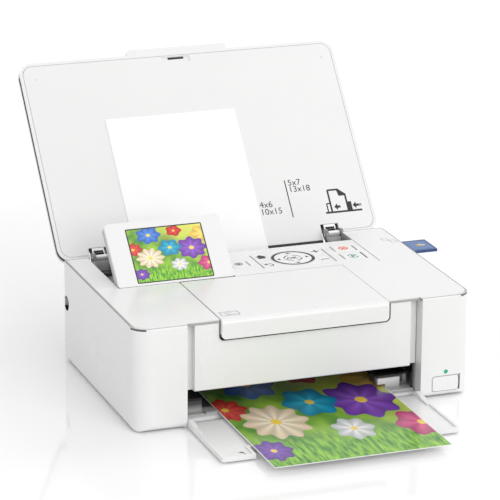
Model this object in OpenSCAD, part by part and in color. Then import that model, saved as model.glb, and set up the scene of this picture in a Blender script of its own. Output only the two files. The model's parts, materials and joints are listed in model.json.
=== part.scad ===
// Compact photo printer: casing, folding screen, paper-support lid, front tray and print mechanism.
// Millimetres, +Z up. The origin is the middle of the body, on the surface it stands on.
// Every depth below is counted backwards from the body's front face.

/* [Body] */
// Width of the body
body_w = 249; // [230:1:280]
// Depth of the body
body_d = 165; // [155:1:190]
// Height of the closed body without the lid
body_h = 75; // [72:1:90]
// Thickness of the outer walls
wall = 2.4; // [1.8:0.1:3]
// Radius of the upright front corners
front_corner_r = 13; // [6:0.5:18]
// Radius of the upright rear corners
rear_corner_r = 6; // [5:0.5:12]
// Radius where the sides curve in under the body
tuck_r = 4; // [3:0.5:6]
// Radius of the top edge of the side walls
rim_r = 1.2; // [0.6:0.1:1.6]
// Height of the low plinth under the bottom case, and of the rubber feet let into it
foot_h = 0.8; // [0.5:0.1:2]
// Distance of the plinth's edge from the sides of the body
plinth_in = 17; // [14:0.5:24]
// Width of each front pillar
pillar_w = 38.2; // [34:0.1:44]
// Depth from the pillar faces back to the middle front panel
panel_setback = 4.6; // [4:0.1:6]
// Height of the slot under the front panel
slot_top = 24.5; // [22:0.5:28]
// Thickness of the top cover and the other skins
skin = 2.4; // [2:0.1:3]
// Gap in a visible seam between two casing pieces
seam = 0.4; // [0.3:0.05:0.6]
// Wider gap beside the centre cover, the control panel and the top cover
open_seam = 0.7; // [0.4:0.05:0.8]
// Thickness of the wall's upper rim, beside the top cover
rim_w = 1.2; // [1:0.1:1.6]

/* [Centre cover] */
// Width of the hinged centre cover
cover_w = 122.6; // [100:0.2:130]
// Depth of the centre cover on top
cover_d = 88; // [80:0.5:95]
// How far its chin reaches down the front
chin_drop = 13.5; // [10:0.5:18]
// How far the centre cover stands above the top cover
cover_lift = 0.4; // [0.2:0.1:0.5]
// Angle to which the centre cover opens
cover_open = 70; // [40:1:80]

/* [Control panel] */
// Left and right edge of the recess that holds the screen and the control panel
recess_left = -106.3; // [-110:0.1:-100]
recess_right = 91.4; // [86:0.1:96]
// Depth of the control panel, front to back
panel_d = 53; // [50:0.5:56]
// Depth of the recess below the top
recess_drop = 8.6; // [8:0.1:10]
// Diameter of the direction key
direction_d = 31.2; // [26:0.2:34]
// Diameter of the middle key
ok_d = 13.2; // [10:0.2:16]
// Gap round each key
key_gap = 0.16; // [0.12:0.02:0.4]
// Travel of a key
key_travel = 0.5; // [0.3:0.1:0.8]

/* [Screen] */
// Width of the folding screen unit
screen_w = 86; // [80:0.5:86]
// Length of the screen unit from its lower to its upper edge
screen_l = 50.5; // [46:0.5:51]
// Thickness of the screen unit
screen_t = 7.4; // [6.5:0.1:7.6]
// Angle of the raised screen above the horizontal
screen_tilt = 45.5; // [30:0.5:60]
// Width of the window
window_w = 57; // [50:0.5:60]
// Height of the window
window_l = 43.4; // [38:0.2:44]

/* [Lid] */
// Thickness of the lid
lid_t = 9; // [7:0.5:12]
// Angle of the open lid above the horizontal
lid_tilt = 49.4; // [45:0.2:60]
// Gap between the closed lid and the top of the body
lid_gap = 1; // [0.8:0.1:2]
// Radius of the lid's corners
lid_corner_r = 10; // [6:0.5:14]
// How far the hinge line lies below the top of the body
pivot_sink = 2.4; // [2:0.1:3]
// How far the hinge line lies behind the body
pivot_back = 1.7; // [1.5:0.1:2]
// Width of the finger lip on the lid's upper edge
lip_w = 79; // [50:1:100]

/* [Front tray] */
// Thickness of the tray floor
tray_t = 2.2; // [1.8:0.1:2.4]
// Clearance under the open tray
tray_lift = 1.2; // [0.6:0.1:1.6]
// Height of the tray's hinge line
tray_pivot_z = 3.6; // [3.4:0.1:4]

/* [Paper] */
// Width and length of the blank sheet in the feeder
sheet_w = 101.6; // [89:0.1:127]
sheet_l = 152.4; // [127:0.1:178]
// Left edge against which all paper is fed
paper_left = -67.3; // [-70:0.1:-60]
// Width of the widest paper
paper_max = 127; // [102:0.1:127]
// Thickness of a sheet
paper_t = 0.3; // [0.2:0.05:0.4]
// Width and length of the printed photo on the tray
print_w = 127; // [100:0.5:127]
print_l = 177.8; // [150:0.2:180]
// How far the print reaches out in front of the body
print_reach = 99; // [60:1:110]
// Width, length and thickness of the memory card
card_w = 24; // [20:0.5:25]
card_l = 32; // [28:0.5:34]
card_t = 2.1; // [1.4:0.1:2.4]
// How far the card stands out of the right side
card_out = 22.5; // [10:0.5:24]

/* [Mechanism] */
// Height at which paper passes under the print head
path_z = 18; // [17:0.2:19]
// Radius of the main feed roller
feed_r = 6; // [5:0.1:6.5]
// Radius of the exit roller
exit_r = 5.4; // [4.8:0.1:5.5]
// Radius of the pick-up roller
pick_r = 9.4; // [8.6:0.1:9.6]
// Radius of the small wheels that press on the paper
press_r = 3.6; // [3:0.1:4]
// Radius of the carriage rail
rail_r = 4; // [3:0.1:4.5]
// Radius of the belt pulleys
pulley_r = 6; // [5:0.1:7]
// Width of the ink carriage
carriage_w = 44; // [36:1:48]
// Where the parked carriage stands, right of the middle
carriage_home = 74; // [60:1:75]
// Gear module
gear_m = 0.8; // [0.7:0.05:0.85]
// Teeth of the motor pinion, big gear, feed gear, exit idler, exit gear and pick-up gear
pinion_n = 10; // [9:1:12]
drive_n = 40; // [39:1:42]
feed_n = 18; // [16:1:18]
exit_idler_n = 14; // [13:1:15]
exit_n = 16; // [15:1:17]
pick_n = 28; // [27:1:28]

/* [Hidden] */
$fn = 48;

white = [0.93, 0.93, 0.92];
pale = [0.86, 0.86, 0.85];
grey = [0.45, 0.46, 0.48];
dark = [0.12, 0.12, 0.13];
steel = [0.72, 0.73, 0.75];
rubber = [0.2, 0.2, 0.2];

eps = 0.01;                 // overlap of pieces that are one solid
over = 1;                   // how far a cutting shape runs past what it cuts
free = 0.05;                // running clearance of a shaft in its bore
apart = 0.3;                // gap between pieces that don't touch
front = -body_d / 2;        // where the front face lies
side_x = body_w / 2;        // half width of the body
open_x = side_x - pillar_w; // inner edge of a pillar
in_x = side_x - wall;       // inner face of a side wall
floor_z = foot_h + skin;    // inner floor
rim_z = body_h - apart;     // top of the side walls
top_under = body_h - skin;  // underside of the top cover
ledge = tuck_r + apart;     // inward reach of the shell's bottom flange

// centre cover
cover_x = cover_w / 2;
cover_top = body_h + cover_lift;
cover_pin_y = cover_d - 1.2;
cover_pin_z = body_h - 1.6;
cover_pin_r = 0.75;
chin_z = cover_top - chin_drop - cover_lift;

// recess, control panel and screen
panel_front = cover_d + 1;
panel_back = panel_front + panel_d;
deck_z = body_h - recess_drop;
panel_left = recess_left + screen_w + 2 * seam;
screen_x = recess_left + seam;                       // left side of the screen unit
screen_rise = 3.2;                                   // hinge line below the screen's face
screen_pin_r = 0.95;
screen_flat_gap = 0.1;                               // face of the folded screen below the top
screen_pivot_z = body_h - screen_flat_gap - screen_rise;
screen_heel = (body_h - screen_pivot_z - screen_rise * cos(screen_tilt)) / sin(screen_tilt);
screen_pivot_y = panel_front + screen_rise * sin(screen_tilt) - screen_heel * cos(screen_tilt);

// lid, measured in its own frame: y along the lid from the hinge line, z towards its inner face
pivot_y = body_d + pivot_back;
pivot_z = body_h - pivot_sink;
lid_inner = -(lid_gap + pivot_sink);                 // inner face
lid_outer = lid_inner - lid_t;                       // outer face
lid_low = pivot_back;                                // lower edge
lid_l = body_d - 5;                                  // length of the lid
lid_high = lid_low + lid_l;                          // upper edge
hinge_left = recess_left + 11.8;                     // middle of the left hinge
hinge_right = recess_right - 5.4;                    // middle of the right hinge
hinge_w = 9;                                         // width of a hinge arm
ear_t = 2;                                           // thickness of a hinge ear
ear_r = 4;                                           // radius of a hinge ear
lid_pin_r = 1.5;
eye_r = 2.6;                                         // radius of the arm's eye round the pin
apron = 4.3;                                         // reach of the lid panel below the lid's edge
apron_lip = 2.6;                                     // recessed lip below the apron
apron_side = hinge_w / 2 + ear_t + 3 * apart;        // from the middle of a hinge to the apron's end

// tray, hinged between the pillars
tray_pivot_y = tray_pivot_z - tray_lift;             // so that the closed tray is flush
tray_x = open_x - seam;
tray_l = body_h - 0.2 - tray_pivot_z;                // from the hinge line to the free edge
tray_pin_r = 1.2;
ear_top = tray_pivot_z + 3.4;                        // top of the tray's ears
groove_w = 6.8;                                      // grooves beside the front panel
groove_y = 10;                                       // depth of those grooves
sill_y = groove_y - 0.4;                             // front edge of the inner floor

// paper path
function on_lid(along, up) = [pivot_y + along * cos(lid_tilt) - up * sin(lid_tilt),
                              pivot_z + along * sin(lid_tilt) + up * cos(lid_tilt)];
sheet_high = 110.7;                                  // upper end of the sheet, along the lid
sheet_low = sheet_high - sheet_l;
sheet_face = lid_inner + 0.15;                       // underside of the sheet
sheet_end = on_lid(-41.7, sheet_face);               // where the loaded sheet ends
pick = on_lid(-35.3, sheet_face + paper_t + 0.1 + pick_r);
feed_y = sheet_end[0] - 30;
exit_y = feed_y - 24;
head_y = (feed_y + exit_y) / 2;
feed_z = path_z - feed_r;
exit_z = path_z - exit_r;
press_z = path_z + 0.1 + press_r;
print_z = tray_lift + tray_t + 2;
print_left = 3.3 - print_w / 2;                      // left edge of the print
bed_back = exit_y - exit_r - 1;
hopper_pin = on_lid(-17, lid_inner - 2);             // hinge line of the plate under the sheets

// gears: pitch radii and places, in the plane beside the left chassis plate
function pitch(teeth) = teeth * gear_m / 2;
function toward(from, to) = atan2(to[1] - from[1], to[0] - from[0]);
// the point at distances r1 from p1 and r2 from p2, on the left when looking from p1 to p2
function meet(p1, r1, p2, r2) =
    let (d = norm(p2 - p1), a = (r1 * r1 - r2 * r2 + d * d) / (2 * d),
         h = sqrt(max(0, r1 * r1 - a * a)), u = (p2 - p1) / d)
    p1 + a * u + h * [-u[1], u[0]];
// the turn of gear B that puts its gap against a tooth of gear A
function mesh_turn(angle, turn_a, teeth_a, teeth_b) =
    angle + 180 + (angle - turn_a) * teeth_a / teeth_b - 180 / teeth_b;
feed_at = [feed_y, feed_z];
exit_at = [exit_y, exit_z];
drive_at = meet(feed_at, pitch(feed_n) + pitch(drive_n), pick, pitch(pick_n) + pitch(drive_n));
exit_idler_at = meet(exit_at, pitch(exit_n) + pitch(exit_idler_n),
                     feed_at, pitch(feed_n) + pitch(exit_idler_n));
pinion_angle = -20;
pinion_at = drive_at + (pitch(pinion_n) + pitch(drive_n)) * [cos(pinion_angle), sin(pinion_angle)];
drive_turn = mesh_turn(toward(feed_at, drive_at), 0, feed_n, drive_n);
pick_turn = mesh_turn(toward(drive_at, pick), drive_turn, drive_n, pick_n);
pinion_turn = mesh_turn(pinion_angle, drive_turn, drive_n, pinion_n);
exit_idler_turn = mesh_turn(toward(feed_at, exit_idler_at), 0, feed_n, exit_idler_n);
exit_turn = mesh_turn(toward(exit_idler_at, exit_at), exit_idler_turn, exit_idler_n, exit_n);

// chassis and gears, left to right
plate_t = 1.2;
plate_x = 98.8;                                      // inner face of the chassis plates
gear_w = 3.4;
gear_x = -plate_x - plate_t - 0.8 - gear_w;          // left face of the gears
bracket_x = gear_x - 0.8 - plate_t;                  // left face of the motor bracket
shaft_r = 3;
rail_y = head_y + 7.4;
rail_z = deck_z - 22.4;
carriage_front = rail_y - 48.43;
belt_z = rail_z + 6;
belt_w = 6;
belt_t = 1;
belt_y = carriage_front - 1.7 - belt_t - pulley_r;
belt_x = 84;                                         // where the pulleys stand
carriage_top = deck_z - skin - 2.2;
well_back = cover_d - 3.4;                           // rear wall of the cartridge's well
head_w = 16;
head_z = path_z + 1;                                 // nozzle face
carriage_low = head_z + 9;                           // underside of the carriage
frame_front = body_d - 131;                          // front rail of the chassis

// keys: middle, width and depth
panel_corner = [panel_left, panel_front];
view_at = panel_corner + [11.5, 25.4];
home_at = panel_corner + [32.3, 35.4];
back_at = panel_corner + [32.3, 16.6];
direction_at = panel_corner + [53.5, 26.2];
plus_at = panel_corner + [74.5, 35.6];
minus_at = panel_corner + [74.5, 16.2];
stop_at = panel_corner + [96.5, 36];
start_at = panel_corner + [96.5, 16.6];
key_size = [11.6, 15.6];
side_key_size = [8, 15.6];
key_lap = 0.45;                                     // flange under the panel round each key
stop_key_size = [14.4, 14.8];
button_low = [95.2, 5.1];                            // power button, left and lower edge
button_size = [20.8, 10.6];
button_gap = 0.45;
button_travel = 0.6;
light_at = [105.2, 19];

// ports
dc_at = [body_d - 9.7, 45];
inlet_r = 2.9;                                       // bore that takes the power plug
card_y = panel_front + 36.3;
card_z = body_h - 5;
data_at = [plate_x + 11.2, 30];                      // data socket in the rear

module block(low, high) {
    translate([low[0], front + low[1], low[2]]) cube(high - low);
}

module rod_x(at, r, x0, x1) {
    translate([x0, front + at[0], at[1]]) rotate([0, 90, 0]) cylinder(h = x1 - x0, r = r);
}

module rod_y(at, r, y0, y1) {
    translate([at[0], front + y1, at[1]]) rotate([90, 0, 0]) cylinder(h = y1 - y0, r = r);
}

module rod_z(at, r, z0, z1) {
    translate([at[0], front + at[1], z0]) cylinder(h = z1 - z0, r = r);
}

// a rectangle whose two lower and two upper corners are round
module rounded(low, high, r_low, r_high) {
    difference() {
        translate(low) square(high - low);
        for (right = [0, 1], up = [0, 1]) {
            r = up == 1 ? r_high : r_low;
            x = right == 1 ? high[0] : low[0];
            y = up == 1 ? high[1] : low[1];
            if (r > 0) difference() {
                translate([x - (right == 1 ? r : over), y - (up == 1 ? r : over)])
                    square(r + over);
                translate([x + (right == 1 ? -r : r), y + (up == 1 ? -r : r)]) circle(r = r);
            }
        }
    }
}

// a plan outline, drawn with depths from the front, raised between two heights
module plan(z0, z1) {
    translate([0, front, z0]) linear_extrude(z1 - z0) children();
}

// a side outline in depth and height, run from x0 to x1
module along_x(x0, x1) {
    translate([x0, front, 0]) rotate([90, 0, 90]) linear_extrude(x1 - x0) children();
}

// a front outline in width and height, run from y0 to y1
module along_y(y0, y1) {
    translate([0, front + y1, 0]) rotate([90, 0, 0]) linear_extrude(y1 - y0) children();
}

module plan_outline(inset) {
    rounded([-side_x + inset, inset], [side_x - inset, body_d - inset],
            max(front_corner_r - inset, 1), max(rear_corner_r - inset, 1));
}

// the outside of the body between its tucked-in bottom and its rim
module body_form(z0, z1) {
    intersection() {
        plan(z0, z1) plan_outline(0);
        along_y(-over, body_d + over) rounded([-side_x, z0], [side_x, z1], tuck_r, rim_r);
        along_x(-side_x - over, side_x + over) rounded([0, z0], [body_d, z1], tuck_r, rim_r);
    }
}

module in_lid_frame() {
    translate([0, front + pivot_y, pivot_z]) rotate([lid_tilt, 0, 0]) children();
}

module in_screen_frame() {
    translate([0, front + screen_pivot_y, screen_pivot_z]) rotate([screen_tilt, 0, 0]) children();
}

// one side of a gear tooth and the next gap, as points about the middle of the tooth
function tooth_points(teeth, k) =
    let (r = pitch(teeth), middle = 360 * k / teeth,
         half = 90 / teeth - 7 / teeth,                // half a tooth at the pitch circle, less backlash
         radii = [r - 1.15 * gear_m, r - 0.4 * gear_m, r, r + 0.5 * gear_m, r + 0.95 * gear_m],
         widths = [1.5, 1.25, 1, 0.68, 0.34])
    concat([for (i = [0:4]) radii[i] * [cos(middle - half * widths[i]), sin(middle - half * widths[i])]],
           [for (i = [4:-1:0]) radii[i] * [cos(middle + half * widths[i]), sin(middle + half * widths[i])]]);

module gear(at, teeth, turn, bore_r, x0 = gear_x, w = gear_w) {
    translate([x0, front + at[0], at[1]]) rotate([90, 0, 90]) linear_extrude(w) difference() {
        rotate(turn) polygon([for (k = [0:teeth - 1]) each tooth_points(teeth, k)]);
        circle(r = bore_r);
    }
}

// ---- casing ----

module bottom_case() color(white) difference() {
    union() {
        plan(foot_h, floor_z) plan_outline(ledge + apart);
        // plinth that the body stands on, with pockets for the feet
        plan(0, foot_h + eps) difference() {
            plan_outline(plinth_in);
            for (at = foot_places) translate(at) circle(r = foot_r + foot_fit);
        }
        plan(floor_z - eps, 12) difference() {
            plan_outline(ledge + apart);
            plan_outline(ledge + apart + 1.8);
        }
        for (at = screw_places) rod_z(at, 4, floor_z - eps, 12);
        // stiffening ribs on the floor
        for (x = [-78:39:78]) block([x - 0.8, feed_y + 12, floor_z - eps],
                                    [x + 0.8, body_d - 6, floor_z + 2.4]);
    }
    // room for the tray's hinge between the pillars
    block([-open_x - wall - apart, 0, -over], [open_x + wall + apart, sill_y, 14]);
    // room for the power button and its board
    block([open_x, 0, floor_z], [side_x - 6.5, wall + 10, 14]);
    for (at = screw_places) {
        rod_z(at, 1.6, foot_h - over, 12 + over);
        rod_z(at, 3.2, -over, foot_h + 1.2);
    }
}

screw_places = [for (x = [-1, 1], y = [24, body_d - 18]) [x * (side_x - 11), y]];
foot_places = [for (x = [-1, 1], y = [32, body_d - 32]) [x * (side_x - 30), y]];
foot_r = 6.5;
foot_fit = 0.1;

module rubber_feet() color(rubber) for (at = foot_places) rod_z(at, foot_r, 0, foot_h);

module case_screws() color(steel) for (at = screw_places) {
    rod_z(at, 1.6, foot_h + 0.2, 11);
    rod_z(at, 3, foot_h + 0.2, foot_h + 1.2);
}

module body_shell() color(white) difference() {
    union() {
        difference() {
            body_form(foot_h + 0.4, rim_z);
            plan(tuck_r + 1.2, rim_z + over) plan_outline(wall);
            plan(0, tuck_r + 1.2 + eps) plan_outline(ledge);
            plan(top_under - apart, rim_z + over) plan_outline(rim_w);
            block([-open_x, -over, -over], [open_x, ledge + over, rim_z + over]);
        }
        // return walls of the pillars, cut out over the inner floor
        for (s = [-1, 1]) {
            x0 = s > 0 ? open_x : -open_x - wall;
            block([x0, wall / 2, foot_h + 0.6], [x0 + wall, sill_y - apart, top_under - apart]);
            block([x0, sill_y - apart - eps, floor_z + apart], [x0 + wall, groove_y + 8, top_under - apart]);
        }
    }
    // the paper enters over the rear wall
    block([recess_left, body_d - wall - over, on_lid(-18.6, lid_inner)[1]],
          [hinge_right + hinge_w / 2 + ear_t + 2 * apart, body_d + over, rim_z + over]);
    for (x = [-1, 1]) rod_x([tray_pivot_y, tray_pivot_z], tray_pin_r + free,
                            x * (open_x + wall / 2) - wall, x * (open_x + wall / 2) + wall);
    // power button, light, sockets and card slot
    along_y(-over, wall + over) rounded(button_low - [button_gap, button_gap],
                                        button_low + button_size + [button_gap, button_gap], 2.2, 2.2);
    along_y(wall, wall + 3) rounded(button_low - [1.3, 1.3], button_low + button_size + [1.3, 1.3], 2, 2);
    rod_y(light_at, 1.6, -over, wall + over);
    rod_x(dc_at, 5.4, -side_x - over, -in_x + over);
    block([-side_x - over, dc_at[0] + 4.6, 41], [-in_x + over, dc_at[0] + 6.2, 55.5]);
    block([in_x - over, card_y - card_w / 2 - 0.5, card_z - card_t / 2 - 0.35],
          [side_x + over, card_y + card_w / 2 + 0.5, card_z + card_t / 2 + 0.35]);
    block([data_at[0] - 6.4, body_d - wall - over, data_at[1] - 6],
          [data_at[0] + 6.4, body_d + over, data_at[1] + 6]);
    // cooling slots in the rear wall
    for (x = [-20:6:40]) block([x, body_d - wall - over, 18], [x + 2, body_d + over, 34]);
}

module front_panel() color(white) difference() {
    union() {
        // the middle face, standing in front of the tray's grooves
        along_x(-open_x + groove_w, open_x - groove_w) rounded([panel_setback, slot_top],
            [groove_y + 2, top_under - apart], 1.2, 0);
        block([-open_x + seam, groove_y, slot_top], [open_x - seam, groove_y + 2, top_under - apart]);
        // the lip that runs back over the slot
        block([-open_x + seam, groove_y + 2 - eps, slot_top], [open_x - seam, groove_y + 12, slot_top + 2]);
        for (x = [-60:30:60]) block([x - 0.8, groove_y + 2 - eps, slot_top + 2 - eps],
                                    [x + 0.8, groove_y + 12, slot_top + 9]);
    }
    // hollow behind the middle face, and the seat of the chin
    block([-open_x + groove_w + 2, panel_setback + 2, slot_top + 2],
          [open_x - groove_w - 2, groove_y + over, chin_z - 3]);
    for (x = [-60:30:30]) block([x + 0.8, groove_y - over, slot_top + 2],
                                [x + 29.2, groove_y + 2 + over, chin_z - 3]);
    block([-cover_x - 4, panel_setback + 2, chin_z - 3 + 2], [cover_x + 4, groove_y + 2 + over, body_h]);
}

edge_step = 0.3;      // fine step along the edge of the top cover
edge_band = 0.9;

// the top cover's plan: the bay between the pillars ends at the front panel
module cover_plan(inset) {
    difference() {
        union() {
            plan_outline(inset);
            translate([-open_x + seam, panel_setback - 0.4]) square([2 * (open_x - seam), 20]);
        }
        translate([-open_x + seam, 0]) square([2 * (open_x - seam), panel_setback - 0.4]);
        translate([-cover_x - open_seam, -over]) square([cover_w + 2 * open_seam, panel_front + over]);
        translate([recess_left, panel_front]) square([recess_right - recess_left, body_d]);
    }
}

module top_cover() color(white) difference() {
    union() {
        plan(top_under, body_h - edge_step) cover_plan(rim_w + seam);
        plan(body_h - edge_step - eps, body_h) cover_plan(rim_w + seam + edge_band);
        // tub under the screen and the control panel
        block([recess_left - skin, panel_front - skin, deck_z - skin],
              [recess_right + skin, panel_back, deck_z]);
        for (x = [recess_left - skin, recess_right])
            block([x, panel_front - skin, deck_z - skin], [x + skin, body_d - wall - apart, top_under + eps]);
        block([recess_left - skin, panel_front - skin, deck_z - skin],
              [recess_right + skin, panel_front - 0.6, cover_pin_z - 3.2]);
        for (x = [[recess_left - skin, -cover_x - open_seam], [cover_x + open_seam, recess_right + skin]])
            block([x[0], panel_front - skin, deck_z], [x[1], panel_front - 0.6, top_under + eps]);
        // bosses for the centre cover's hinge
        for (s = [-1, 1]) block([s > 0 ? cover_x + open_seam : -cover_x - open_seam - 5, cover_pin_y - 3,
                                 cover_pin_z - 3.2],
                                [s > 0 ? cover_x + open_seam + 5 : -cover_x - open_seam, panel_front - 0.6,
                                 top_under + eps]);
        // hinge blocks and ears of the lid
        for (x = [hinge_left, hinge_right]) {
            block([x > 0 ? x - hinge_w / 2 - ear_t - apart : recess_left - eps, pivot_y - 12, pivot_z - 12],
                  [x > 0 ? recess_right + eps : x + hinge_w / 2 + ear_t + apart, body_d - wall - apart,
                   pivot_z - 8]);
            for (s = [-1, 1]) {
                x0 = x + s * (hinge_w / 2 + apart) + (s > 0 ? 0 : -ear_t);
                along_x(x0, x0 + ear_t) hinge_ear();
            }
        }
    }
    for (s = [-1, 1]) rod_x([cover_pin_y, cover_pin_z], cover_pin_r + free,
                            s > 0 ? cover_x - over : -cover_x - 4.4, s > 0 ? cover_x + 4.4 : -cover_x + over);
    for (x = [hinge_left, hinge_right]) rod_x([pivot_y, pivot_z], lid_pin_r, x - 12, x + 12);
    // bearings of the screen, in the recess wall and in a lug beside the control panel
    rod_x([screen_pivot_y, screen_pivot_z], screen_pin_r + free, recess_left - 1.8, recess_left + over);
}

// a hinge ear: an eye round the pin on a foot that leans back from its block
module hinge_ear() {
    difference() {
        union() {
            translate([pivot_y, pivot_z]) circle(r = ear_r);
            polygon([[pivot_y - 12, pivot_z - 8.5], [pivot_y - ear_r, pivot_z - 0.5],
                     [pivot_y - 1, pivot_z + ear_r - 0.2],
                     [pivot_y + ear_r - 0.2, pivot_z], [pivot_y - pivot_back - wall - apart, pivot_z - 8.5]]);
        }
    }
}

module centre_cover() color(white) union() {
    difference() {
        intersection() {
            along_x(-cover_x, cover_x) difference() {
                rounded_cover_profile();
                translate([2.2, chin_z + 2]) square([cover_d, cover_top - 2.2 - chin_z - 2]);
                translate([panel_setback - 0.4, chin_z - over])
                    square([cover_d, cover_top - 2.2 - chin_z + over]);
            }
            // round lower corners of the chin
            along_y(-over, cover_d + over) rounded([-cover_x, chin_z], [cover_x, cover_top], 3, 0.4);
        }
    }
    // ends of the chin, and ribs under the top
    for (x = [-cover_x, cover_x - 2]) block([x, 2, chin_z + 3], [x + 2, panel_setback - 0.4, cover_top - 2]);
    for (x = [-cover_x + 1.4, cover_x - 3]) block([x, 14, cover_top - 5],
                                                  [x + 1.6, cover_d - 6, cover_top - 2]);
    // hinge pins moulded on the rear corners
    for (s = [-1, 1]) rod_x([cover_pin_y, cover_pin_z], cover_pin_r, s > 0 ? cover_x - eps : -cover_x - 4,
                            s > 0 ? cover_x + 4 : -cover_x + eps);
}

module rounded_cover_profile() {
    difference() {
        rounded([0.2, chin_z], [cover_d, cover_top], 0, 1);
        difference() {
            translate([0.2 - over, cover_top - 3.6]) square([3.6 + over, 3.6 + over]);
            translate([0.2 + 3.6, cover_top - 3.6]) circle(r = 3.6);
        }
    }
}

// ---- control panel and keys ----

module key_outline(at, size, gap) {
    rounded(at - size / 2 - [gap, gap], at + size / 2 + [gap, gap], 1 + gap, 1 + gap);
}

module control_panel() color(white) difference() {
    block([panel_left, panel_front, deck_z + apart], [recess_right - open_seam, panel_back, body_h]);
    block([panel_left + 1.6, panel_front + 1.6, deck_z],
          [recess_right - open_seam - 1.6, panel_back - 1.6, body_h - 2]);
    plan(body_h - 3, body_h + over) {
        key_outline(view_at, key_size, key_gap);
        key_outline(home_at, side_key_size, key_gap);
        key_outline(back_at, side_key_size, key_gap);
        key_outline(plus_at, side_key_size, key_gap);
        key_outline(minus_at, side_key_size, key_gap);
        key_outline(stop_at, stop_key_size, key_gap);
        key_outline(start_at, stop_key_size, key_gap);
        translate(direction_at) circle(r = direction_d / 2 + 0.5);
    }
    rod_x([screen_pivot_y, screen_pivot_z], screen_pin_r + free, panel_left - over, panel_left + 1.6 + over);
}

// a key cap with the flange that holds it under the panel and the stem that presses its switch
module key_cap(at, size) {
    plan(body_h - 2 - eps, body_h) key_outline(at, size, 0);
    plan(body_h - 3.2, body_h - 2 - apart) key_outline(at, size, key_lap);
    plan(body_h - 2 - apart - eps, body_h - 2) key_outline(at, size, 0);
    rod_z(at, 1.5, switch_z, body_h - 3);
}

switch_z = deck_z + 3.6;   // top of the dome switches

module view_key() color(white) key_cap(view_at, key_size);
module home_key() color(white) key_cap(home_at, side_key_size);
module back_key() color(white) key_cap(back_at, side_key_size);
module plus_key() color(white) key_cap(plus_at, side_key_size);
module minus_key() color(white) key_cap(minus_at, side_key_size);
module stop_key() color(white) key_cap(stop_at, stop_key_size);
module start_key() color(white) key_cap(start_at, stop_key_size);

module direction_key() color(white) difference() {
    union() {
        rod_z(direction_at, direction_d / 2, body_h - 2.4, body_h);
        // flange, left off beside the neighbouring keys
        intersection() {
            rod_z(direction_at, direction_d / 2 + 1.2, body_h - 3.2, body_h - 2 - apart);
            block(concat(direction_at - [11, direction_d], [0]),
                  concat(direction_at + [11, direction_d], [body_h]));
        }
        for (a = [45:90:315]) rod_z(direction_at + 11 * [cos(a), sin(a)], 1.4, switch_z, body_h - 2.2);
    }
    rod_z(direction_at, ok_d / 2 + 0.3, body_h - 4, body_h + over);
}

module ok_key() color(white) {
    rod_z(direction_at, ok_d / 2, body_h - 4.2, body_h);
    rod_z(direction_at, 1.5, switch_z, body_h - 4);
}

module key_board() color([0.1, 0.35, 0.2]) {
    block([panel_left + 2.2, panel_front + 2.2, deck_z],
          [recess_right - open_seam - 2.2, panel_back - 2.2, deck_z + 1.6]);
    for (at = concat([view_at, home_at, back_at, direction_at, plus_at, minus_at, stop_at, start_at],
                     [for (a = [45:90:315]) direction_at + 11 * [cos(a), sin(a)]]))
        rod_z(at, 2.2, deck_z + 1.6 - eps, switch_z - key_travel - 0.2);
}

module power_button() color(white) {
    intersection() {
        along_y(-over, wall) rounded(button_low, button_low + button_size, 1.8, 1.8);
        plan(0, body_h) plan_outline(-0.2);
    }
    along_y(wall + apart, wall + apart + 1) rounded(button_low - [0.8, 0.8],
                                                    button_low + button_size + [0.8, 0.8], 2, 2);
    along_y(wall - eps, wall + apart + eps) rounded(button_low + [0.2, 0.2],
                                                    button_low + button_size - [0.2, 0.2], 1.6, 1.6);
    rod_y(button_low + button_size / 2, 2, wall + 1, wall + 6);
}

module power_light() color([0.1, 0.7, 0.45]) {
    rod_y(light_at, 1.55, 0.1, wall + eps);
    rod_y(light_at, 1.2, wall, wall + 7.4);
}

module power_board() color([0.1, 0.35, 0.2]) {
    block([open_x + wall + apart, wall + 7.4, 8], [side_x - 8, wall + 9, 26]);
    block([button_low[0] + button_size[0] / 2 - 3, wall + 6 + button_travel + 0.2, button_low[1] + 2.4],
          [button_low[0] + button_size[0] / 2 + 3, wall + 7.4 + eps, button_low[1] + button_size[1] - 2.4]);
}

// ---- folding screen, in its own frame: y along the face, z out of the face ----

screen_foot = 1.8;         // lower edge of the unit above its hinge line
window_low = screen_foot + 1.6;
window_x = screen_x + 14.2;
screen_glass_sink = 0.25;

module screen_outline(z0, z1, inset = 0) {
    translate([0, 0, z0]) linear_extrude(z1 - z0)
        rounded([screen_x + inset, screen_foot + inset],
                [screen_x + screen_w - seam - inset, screen_foot + screen_l - inset],
                1.4, 3);
}

module screen_frame() color(white) in_screen_frame() difference() {
    screen_outline(screen_rise - 2.6, screen_rise);
    translate([window_x, window_low, screen_rise - 3]) linear_extrude(4)
        rounded([0, 0], [window_w, window_l], 1, 1);
    // seat of the display behind the window
    translate([window_x - 2, window_low - 0.8, screen_rise - 3]) cube([window_w + 4, window_l + 2.4, 1.6]);
}

module screen_back() color(pale) in_screen_frame() difference() {
    union() {
        difference() {
            screen_outline(screen_rise - screen_t, screen_rise - 2.6);
            translate([window_x - 2.4, window_low - 0.6, screen_rise - screen_t + 1.6])
                cube([window_w + 4.8, window_l + 2.6, screen_t]);
        }
        // two lugs, and the trunnions the unit turns on
        for (x = [screen_x, screen_x + screen_w - seam - 8])
            translate([x, 0, -screen_pin_r]) cube([8, screen_foot + 1, 0.6 - free + screen_pin_r]);
        translate([screen_x - 1.8, 0, 0]) rotate([0, 90, 0])
            cylinder(h = screen_w - seam + 3.6, r = screen_pin_r);
    }
}

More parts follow.
